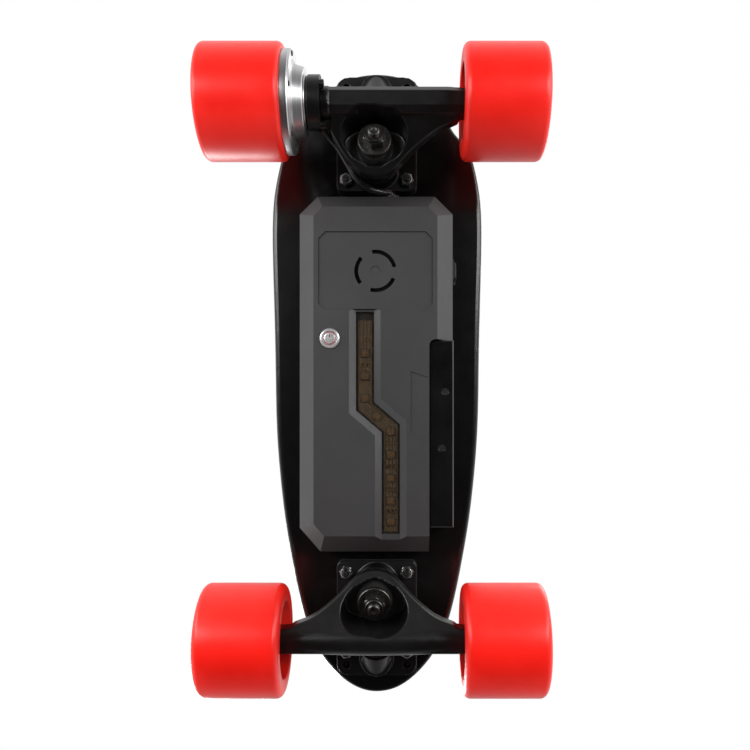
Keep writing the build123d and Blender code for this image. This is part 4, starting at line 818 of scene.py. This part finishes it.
# ------------------------------------------------------------------ stage
def floor_material():
    m = bpy.data.materials.new("floor")
    m.use_nodes = True
    t = m.node_tree
    t.nodes.clear()
    out = t.nodes.new("ShaderNodeOutputMaterial")
    mix = t.nodes.new("ShaderNodeMixShader")
    geo = t.nodes.new("ShaderNodeNewGeometry")
    dif = t.nodes.new("ShaderNodeBsdfDiffuse")
    dif.inputs["Color"].default_value = (0.62, 0.62, 0.62, 1)
    tr = t.nodes.new("ShaderNodeBsdfTransparent")
    t.links.new(geo.outputs["Backfacing"], mix.inputs[0])
    t.links.new(dif.outputs[0], mix.inputs[1])
    t.links.new(tr.outputs[0], mix.inputs[2])
    t.links.new(mix.outputs[0], out.inputs[0])
    return m


bm = bmesh.new()
vs = [bm.verts.new((x * 60, y * 60, -0.0004)) for x, y in ((-1, -1), (1, -1), (1, 1), (-1, 1))]
bm.faces.new(vs)
me = bpy.data.meshes.new("floor")
bm.to_mesh(me)
bm.free()
floor = bpy.data.objects.new("floor", me)
me.materials.append(floor_material())
scene.collection.objects.link(floor)
floor.visible_shadow = False
floor.visible_glossy = False

world = bpy.data.worlds.new("studio")
scene.world = world
world.use_nodes = True
wt = world.node_tree
bg = wt.nodes["Background"]
lp = wt.nodes.new("ShaderNodeLightPath")
tc = wt.nodes.new("ShaderNodeTexCoord")
sepw = wt.nodes.new("ShaderNodeSeparateXYZ")
wt.links.new(tc.outputs["Generated"], sepw.inputs[0])

def wmath(op, a, b=None, clamp=False):
    n = wt.nodes.new("ShaderNodeMath")
    n.operation, n.use_clamp = op, clamp
    for i, v in enumerate((a, b)):
        if v is None:
            continue
        if hasattr(v, "is_output"):
            wt.links.new(v, n.inputs[i])
        else:
            n.inputs[i].default_value = v
    return n.outputs[0]


def wramp(fac, stops):
    n = wt.nodes.new("ShaderNodeValToRGB")
    wt.links.new(fac, n.inputs[0])
    els = n.color_ramp.elements
    while len(els) < len(stops):
        els.new(0.5)
    for e, (p, c) in zip(els, stops):
        e.position, e.color = p, (c, c, c, 1)
    return n.outputs[0]


# direction: x across the board, y along it (tail +), z up
wz = wmath("MULTIPLY_ADD", sepw.outputs[2], 0.5)
wt.nodes[-1].inputs[2].default_value = 0.5
wx = wmath("ABSOLUTE", sepw.outputs[0])
wy = wmath("MULTIPLY_ADD", sepw.outputs[1], 0.5)
wt.nodes[-1].inputs[2].default_value = 0.5
low = wmath("MULTIPLY", wramp(wx, [(0.0, 0.02), (0.45, 0.06), (0.75, 0.5), (1.0, 0.95)]), wramp(wz, [(0.0, 0.0), (0.12, 0.10), (0.34, 0.75), (0.5, 1.0), (1.0, 1.0)]))
tailw = wmath("MULTIPLY", wramp(wy, [(0.0, 0.0), (0.72, 0.0), (0.9, 0.35), (1.0, 0.45)]), wramp(wz, [(0.0, 0.0), (0.2, 0.3), (0.5, 1.0), (1.0, 1.0)]))
high = wramp(wz, [(0.0, 0.01), (0.3, 0.015), (0.5, 0.06), (0.56, 0.34), (0.72, 0.52), (1.0, 0.72)])
total = wmath("ADD", wmath("ADD", low, tailw), high)
rampz = wt.nodes.new("ShaderNodeCombineColor")
for i in range(3):
    wt.links.new(total, rampz.inputs[i])
mixw = wt.nodes.new("ShaderNodeMix")
mixw.data_type = "RGBA"
wt.links.new(lp.outputs["Is Camera Ray"], mixw.inputs[0])
wt.links.new(rampz.outputs[0], mixw.inputs[6])
seen = wt.nodes.new("ShaderNodeValToRGB")
wt.links.new(sepw.outputs[2], seen.inputs[0])
seen.color_ramp.elements[0].position, seen.color_ramp.elements[0].color = 0.0, (0.54, 0.54, 0.54, 1)
seen.color_ramp.elements[1].position, seen.color_ramp.elements[1].color = 0.55, (1, 1, 1, 1)
wt.links.new(seen.outputs[0], mixw.inputs[7])
wt.links.new(mixw.outputs[2], bg.inputs[0])
bg.inputs[1].default_value = 1.0


def area(name, loc, target, size, power, size_y=None):
    l = bpy.data.lights.new(name, "AREA")
    l.energy, l.size = power, size
    if size_y:
        l.shape, l.size_y = "RECTANGLE", size_y
    o = bpy.data.objects.new(name, l)
    scene.collection.objects.link(o)
    d = Vector(target) - Vector(loc)
    o.matrix_world = Matrix.Translation(loc) @ d.to_track_quat("-Z", "Y").to_matrix().to_4x4()
    return o


area("under_left", (1.05, 0.44, -0.52), (0, 0, 0.07), 0.5, 9.6, 1.0)
area("mid_left", (0.80, 0.50, -1.20), (0, 0, 0.07), 0.4, 6.0, 0.6)
area("under_right", (-1.05, 0.44, -0.52), (0, 0, 0.07), 0.5, 8.8, 1.0)
area("mid_right", (-0.80, 0.50, -1.20), (0, 0, 0.07), 0.4, 6.0, 0.6)
area("top_key", (0.7, -0.8, 1.5), (0, 0, 0.05), 0.7, 15)
area("top_fill", (-0.9, 0.6, 1.3), (0, 0, 0.05), 0.9, 7)
